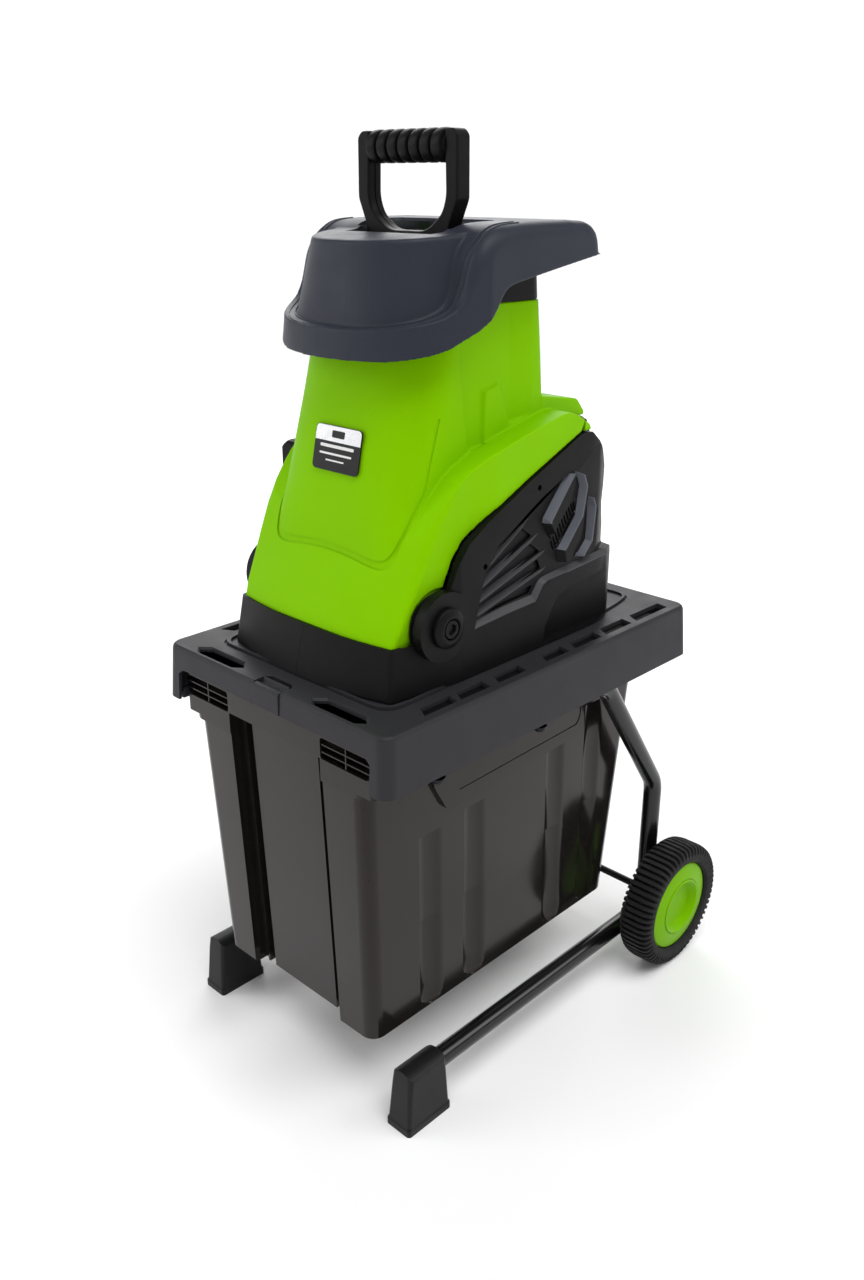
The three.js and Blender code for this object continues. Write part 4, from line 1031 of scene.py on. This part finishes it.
def side_relief(made):
    """A sunk panel on each side of the tower, fading out to the rear, round a standing wedge."""
    levels = []
    for z, wall in ((676, 96.4), (832, 92.9)):
        deep = wall - 4.2
        levels.append((z, [(98, -90), (deep, -90), (deep, 5), (wall + 0.4, 40), (98, 40)]))
    outline = [(-59, 683), (-37, 686), (-1, 701), (23, 705), (54, 711), (54, 831), (-72, 831), (-71, 767)]
    tool = keep(loft(levels), prism("x", outline + [(-66, 725)], 80, 130))
    wedge = [(-40, 686), (5, 698), (-13, 744), (-37, 739)]
    crest = [(-36, 688), (1, 699), (-16, 741), (-33, 736)]
    rings = [[(85, y, z) for y, z in wedge], [(91, y, z) for y, z in wedge]]
    rings += [[(x, y, z) for y, z in crest] for x in (96, 128)]
    return cut(made, *both(cut(tool, skin(rings))))


def leant(obj, at, degrees):
    """Leans a piece over about X and moves it to a place."""
    obj.data.transform(Matrix.Translation(at) @ Matrix.Rotation(math.radians(degrees), 4, "X"))
    return obj


def at_lock(obj):
    """Moves a piece made about +Z to the rear lug, square to the housing's slope."""
    return leant(obj, (0, 112.5, 683), -45)


def neck():
    def plan(inset):
        x, front, rear = 92 - inset, inset - 102, 53 - inset
        corners = [(-x, rear), (-x, front), (x, front), (x, rear)]
        return rounded(corners, [18, 58, 58, 18], 10)

    made = loft([(818.4, plan(0)), (870, plan(2))])
    cut(made, loft([(817, plan(3)), (872, plan(5))]))
    return bevel(made, 0.8, 2)


RIM = {"half_x": 138.5, "front": -158, "middle": -44, "power": 2.1}
EDGE = {"half_x": 111, "front": -151, "middle": -20, "power": 2.9}
CAP = {"half_x": 105, "front": -145.5, "middle": -20, "power": 2.9}
CREST = {"half_x": 92.1, "front": -129.7, "middle": -20, "power": 2.29}
WING_X = 124

# The line where the cap leaves the brim: nearly level round the front, steep up the sides, and
# then the wing's top as far as its tip; UNDER is the hood's lower edge. All as (y, z).
RIDGE = [(-165, 799.5), (-151, 800.5), (-145, 802), (-137, 804), (-128, 806), (-115, 809.2)]
RIDGE += [(-103, 813.6), (-94, 818.6), (-88, 825), (-83.5, 834), (-80, 845), (-77, 856), (-72.5, 866)]
RIDGE += [(-66, 875), (-57, 882.5), (-48, 887), (-38, 889.6), (-20, 891), (30, 892), (60, 892)]
TIP = [(84, 890.4), (93, 887.4), (99.5, 882), (103.5, 875), (105.5, 867), (106.5, 861)]
UNDER = [(-165, 772.6), (-157.5, 772.6), (-145, 773.4), (-133, 776), (-108, 783.5), (-88, 794)]
UNDER += [(-73, 799.4), (-62, 806), (-53, 816), (-46, 827), (-40, 834), (-31, 838), (-10, 841.4)]
UNDER += [(5, 844), (49, 851), (104, 859.4)]
RIDGE = softened(RIDGE)
UNDER = softened(UNDER)


def along(line, y):
    """Height of a (y, z) line at y."""
    for (y0, z0), (y1, z1) in zip(line, line[1:]):
        if y0 <= y <= y1:
            return z0 + (z1 - z0) * (y - y0) / (y1 - y0)
    return line[-1][1] if y > line[-1][0] else line[0][1]


def steps_between(a, b, count):
    return [a + (b - a) * k / count for k in range(count + 1)]


def mixed(first, second, t):
    return {key: first[key] * (1 - t) + second[key] * t for key in first}


def front_plan(curve, back, inset=0.0):
    half = curve["half_x"] - inset
    made = nose(half, curve["middle"], curve["front"] + inset, curve["power"], 48)
    return made + [(half, back), (-half, back)]


def brim_front(inset=0.0):
    """The brim's leaning front wall, from its lower edge up to the cap."""
    heights = [(735, 0), (768, 0), (800.5, 0.5), (835, 0.75), (893, 1)]
    levels = [(z, front_plan(mixed(RIM, EDGE, t), -30, inset)) for z, t in heights]
    top = [(y, z - inset) for y, z in RIDGE if y < -39][::-1]
    under = [(-165, 735), (-40, 735)] if inset else [p for p in UNDER if p[0] < -45] + [(-39, 834)]
    return keep(loft(levels), prism("x", under + top, -150, 150))


def wing(inset=0.0):
    """The flat-sided wing, whose top and tip round over into its sides."""
    low = [(-92, 735), (108 - inset, 735)] if inset else [(-92, 792)] + [p for p in UNDER if p[0] > -90]
    top = ([p for p in RIDGE if p[0] > -93] + TIP)[::-1]
    half, radius, steps = WING_X - inset, 15 - inset, 8
    levels = [0] + [radius * math.sin(math.pi / 2 * k / steps) for k in range(1, steps + 1)]
    offsets = [(half - radius + h, radius - math.sqrt(max(0, radius**2 - h**2))) for h in levels]
    rings = []
    for side, row in ((-1, offsets[::-1]), (1, offsets)):
        for x, drop in row:
            ring = list(low)
            for k, (y, z) in enumerate(top):
                y0, z0 = top[max(k - 1, 0)]
                y1, z1 = top[min(k + 1, len(top) - 1)]
                tangent = Vector((y1 - y0, z1 - z0)).normalized()
                ring.append((y - tangent.y * (drop + inset), z + tangent.x * (drop + inset)))
            rings.append([(side * x, y, z) for y, z in ring])
    side_line = [(half + 1, 140), (half + 1, -58), (half - 11, -95)]
    plan = side_line + [(-x, y) for x, y in side_line[::-1]]
    return keep(skin(rings), prism("z", plan, 700, 900))


def cap(inset=0.0, low=798):
    levels = []
    for t in steps_between(0, 1, 4):
        levels.append((low + (895 - low) * t, front_plan(mixed(CAP, CREST, t), 60, inset)))
    slope = [(-180, 700), (150, 700), (150, 892.5), (10, 891.5), (-61, 882), (-133, 876.7), (-180, 874.4)]
    slope = [(y, z - inset) for y, z in slope]
    return keep(loft(levels), prism("x", slope, -150, 150))


def bead(curve, radius, lift=0.0):
    """A fine rounded bead along the ridge line, on a plan curve."""
    half = curve["half_x"]
    plan = [(-half, -32)] + nose(half, curve["middle"], curve["front"], curve["power"], 96) + [(half, -12)]
    path = [Vector((x, y, along(RIDGE, y) + lift)) for x, y in plan]
    rings, normal = [], None
    for k, point in enumerate(path):
        tangent = (path[min(k + 1, len(path) - 1)] - path[max(k - 1, 0)]).normalized()
        normal = Vector((0, 0, 1)) if normal is None else normal
        normal = (normal - tangent * normal.dot(tangent)).normalized()
        across = tangent.cross(normal)
        turns = [2 * math.pi * i / 8 for i in range(8)]
        rings.append([point + normal * radius * math.cos(t) + across * radius * math.sin(t) for t in turns])
    return skin(rings)


def hood():
    front = bevel(brim_front(), 2.4, 3, 34)
    crown = bevel(cap(), 3, 3, 34)
    made = melt(add(front, wing(), crown), 1.2, 8)
    cut(made, brim_front(3), wing(3), cap(3, 740))
    add(made, bead(EDGE, 1.3, -0.6), bead(CAP, 0.9, 0.2))
    y0, y1 = -73, 1
    cut(made, block(-59, 59, y0, y1, 860, 900))
    dish = [(885, round_rect(-64, 64, y0 - 5, y1 + 5, 8)), (898, round_rect(-73, 73, y0 - 14, y1 + 14, 12))]
    return cut(made, loft(dish))


def build_head():
    place(head_shell(), "feed_head", "head", ["head_shell"], GREEN, 50)
    place(neck(), "neck_collar", "head", ["neck"], BLACK)
    place(hood(), "feed_hood", "head", ["hood"], SLATE, 50)


# ---- plate on the tower


def at_plate(obj):
    """Moves a piece made facing -Y to the sloping front of the tower."""
    return leant(obj, (0, -142.6, 684), -12.2)


def build_plate():
    """A plain plate: silver above, black below, with bars where print would be."""
    base = at_plate(prism("y", round_rect(-33, 33, -22, 22, 5, 6), -1.1, 0.2))
    place(base, "plate_base", "head", ["name_plate"], INK)
    top = cut(
        prism("y", round_rect(-32.4, 32.4, -21.4, 21.4, 4.6, 6), -1.35, -1.0),
        block(-40, 40, -5, 5, -30, 6.5),
    )
    place(at_plate(top), "plate_silver_band", "head", [], SILVER)
    bars = [(-9, 9, 10.5, 17.5, INK), (-24, 24, 0.5, 3.5, WHITE_INK), (-24, 22, -6.5, -4.5, WHITE_INK)]
    bars += [(-14, 12, -12.5, -11, WHITE_INK)]
    for i, (x0, x1, z0, z1, ink) in enumerate(bars):
        outline = round_rect(x0, x1, z0, z1, min(1.2, (z1 - z0) / 2.2), 4)
        bar = at_plate(prism("y", outline, -1.5, -1.05))
        place(bar, f"plate_bar_{i}", "head", [], ink)


# ---- plunger


def handle():
    """Two flat legs that join in a curve below, with a fat ribbed grip between their tops."""
    outline = [(-55, 872), (55, 872), (56, 886), (67, 911), (66.5, 966), (61, 971.5), (-61, 971.5)]
    outline += [(-66.5, 966), (-67, 911), (-56, 886)]
    made = prism("y", rounded(outline, 3, 4), -47, -29)
    opening = [(-50, 990), (-52, 912), (-46, 897), (-26, 882), (26, 882), (46, 897), (52, 912), (50, 990)]
    radii = [1, 14, 14, 30, 30, 14, 14, 1]
    cut(made, prism("y", rounded(opening, radii, 8), -60, -10))
    bevel(made, 2, 3, 34)
    wider = [(x * 1.026, 990 + (z - 990) * 1.012) for x, z in opening]
    cut(made, prism("y", rounded(wider, radii, 8), -38.7, -37.3))
    profile = [(0, -52), (11.4, -52)]
    for k in range(7):
        x = -43.2 + 14.4 * k
        profile += [(11.4, x - 6.2), (14.4, x - 5.4), (15.2, x - 3.4), (15.2, x + 3.4)]
        profile += [(14.4, x + 5.4), (11.4, x + 6.2)]
    profile += [(11.4, 52), (0, 52)]
    return add(made, turned("x", -38, 957.4, profile, 40))


def plunger_block():
    made = block(-54, 54, -68, -4, 760, 765)
    add(made, block(-54, 54, -39, -33, 760, 871.7), block(-3, 3, -68, -4, 760, 871.7))
    add(made, block(-54, 54, -68, -4, 867.7, 871.7))
    return bevel(made, 1.2, 2)


def lock_knob():
    lobes = []
    for k in range(96):
        t = 2 * math.pi * k / 96
        r = 21 + 2.6 * math.cos(6 * t)
        lobes.append((r * math.cos(t), r * math.sin(t)))
    made = bevel(prism("z", lobes, 7.4, 27.4), 2.2, 3, 40)
    add(made, rod("z", 0, 0, 12, 4.4, 9, 48))
    return at_lock(cut(made, rod("z", 0, 0, 4.3, 0, 17.4, 24)))


def build_plunger():
    place(handle(), "ribbed_handle", "plunger", ["plunger_handle"], BLACK, 32)
    place(plunger_block(), "plunger_foot", "plunger", ["plunger_block"], BLACK)
    place(lock_knob(), "lobed_knob", "lock", ["lock_knob"], BLACK, 32)


# ---- carried-over CAD pieces

CARRIED = [
    (ZINC, ["lock_screw", "disc_nut"]),
    (STEEL, ["axle_clip_left", "axle_clip_right", "motor_shaft", "upper_bearing", "lower_bearing"]),
    (STEEL, ["spindle", "knife_disc", "knife_a", "knife_b", "counter_knife"]),
    (ALLOY, ["mount_plate", "large_pulley", "small_pulley"]),
    (WINDING, ["stator", "rotor"]),
    (BELT, ["drive_belt"]),
    (BLACK, ["box_rail_left", "box_rail_right", "feed_chute", "motor_housing", "switch_box"]),
    (BLACK, ["power_inlet", "reset_button"]),
    (GREEN, ["on_button"]),
    (RED, ["off_button"]),
]


def dress_carried():
    """CAD pieces whose shape is right get a material and softened edges."""
    for material, names in CARRIED:
        for name in names:
            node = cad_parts[name]
            node.data.materials.clear()
            node.data.materials.append(material)
            weld = node.modifiers.new("weld", "WELD")
            weld.merge_threshold = 0.00001
            edge = node.modifiers.new("bevel", "BEVEL")
            edge.width = 0.0006
            edge.segments = 2
            edge.limit_method = "ANGLE"
            edge.angle_limit = math.radians(40)


# ---- camera, floor and light


def build_camera():
    """The photograph's view: 44 degrees to the right of the front, 21.5 degrees down."""
    azimuth, pitch = math.radians(44.01), math.radians(21.48)
    data = bpy.data.cameras.new("camera")
    camera = bpy.data.objects.new("camera", data)
    scene.collection.objects.link(camera)
    camera.location = (0.8264, (-866.3 + SHIFT_Y) / 1000, 0.9275)
    camera.rotation_euler = (math.pi / 2 - pitch, 0, azimuth)
    data.lens = 32.11
    data.sensor_width = 36
    data.shift_y = -0.0086
    data.clip_start = 0.05
    scene.camera = camera


def build_stage():
    """A plain pale floor that slopes up gently far away, so that no horizon shows."""
    flat, far, radius, slope = 5.0, 28.0, 3.0, math.radians(21)
    profile = [(0.4, 0.0)]
    for t in steps_between(0, slope, 5):
        profile.append((flat + radius * math.sin(t), radius - radius * math.cos(t)))
    last_r, last_z = profile[-1]
    profile.append((far, last_z + (far - last_r) * math.tan(slope)))
    bm = bmesh.new()
    rows = []
    for k in range(64):
        t = 2 * math.pi * k / 64
        rows.append([bm.verts.new((r * math.cos(t), r * math.sin(t), z)) for r, z in profile])
    for here, there in zip(rows, rows[1:] + rows[:1]):
        for i in range(len(profile) - 1):
            bm.faces.new((here[i], there[i], there[i + 1], here[i + 1])).smooth = True
    bm.faces.new([row[0] for row in rows])
    floor = new_object(bm, "floor")
    shader = Shader("studio_floor", (0.92, 0.92, 0.92), 0.8, specular=0.1)
    floor.data.materials.append(shader.material)
    world = bpy.data.worlds.new("studio")
    world.use_nodes = True
    background = world.node_tree.nodes["Background"]
    background.inputs["Color"].default_value = (1, 1, 1, 1)
    background.inputs["Strength"].default_value = 0.22
    scene.world = world
    scene.view_settings.view_transform = "Standard"


def new_light(name, kind, energy, towards):
    """A light that shines along -Z; towards points from what it lights to the light."""
    data = bpy.data.lights.new(name, kind)
    data.energy = energy
    light = bpy.data.objects.new(name, data)
    light.rotation_euler = Vector(towards).to_track_quat("Z", "Y").to_euler()
    scene.collection.objects.link(light)
    return light


def area_light(name, location, target, size, power):
    light = new_light(name, "AREA", power, Vector(location) - Vector(target))
    light.location = location
    light.visible_camera = False
    light.data.shape = "RECTANGLE"
    light.data.size, light.data.size_y = size


def sun(name, towards, strength, spread):
    """A broad soft light from far away."""
    new_light(name, "SUN", strength, towards).data.angle = spread


def build_lights():
    sun("overhead", (0.36, -0.12, 1.0), 2.0, 0.75)
    sun("front_left", (-0.55, -0.65, 0.5), 0.6, 0.6)
    sun("back_right", (0.5, 0.45, 0.6), 0.6, 0.5)
    area_light("back_softbox", (-2.7, 2.5, 2.7), (0, 0, 0.6), (3.6, 2.2), 85)
    area_light("left_strip", (-1.9, -1.6, 1.6), (0, 0, 0.5), (0.3, 1.6), 5)


build_camera()
build_stage()
build_lights()
build_running_gear()
build_deck()
build_box()
build_housing()
build_head()
build_plate()
build_plunger()
dress_carried()
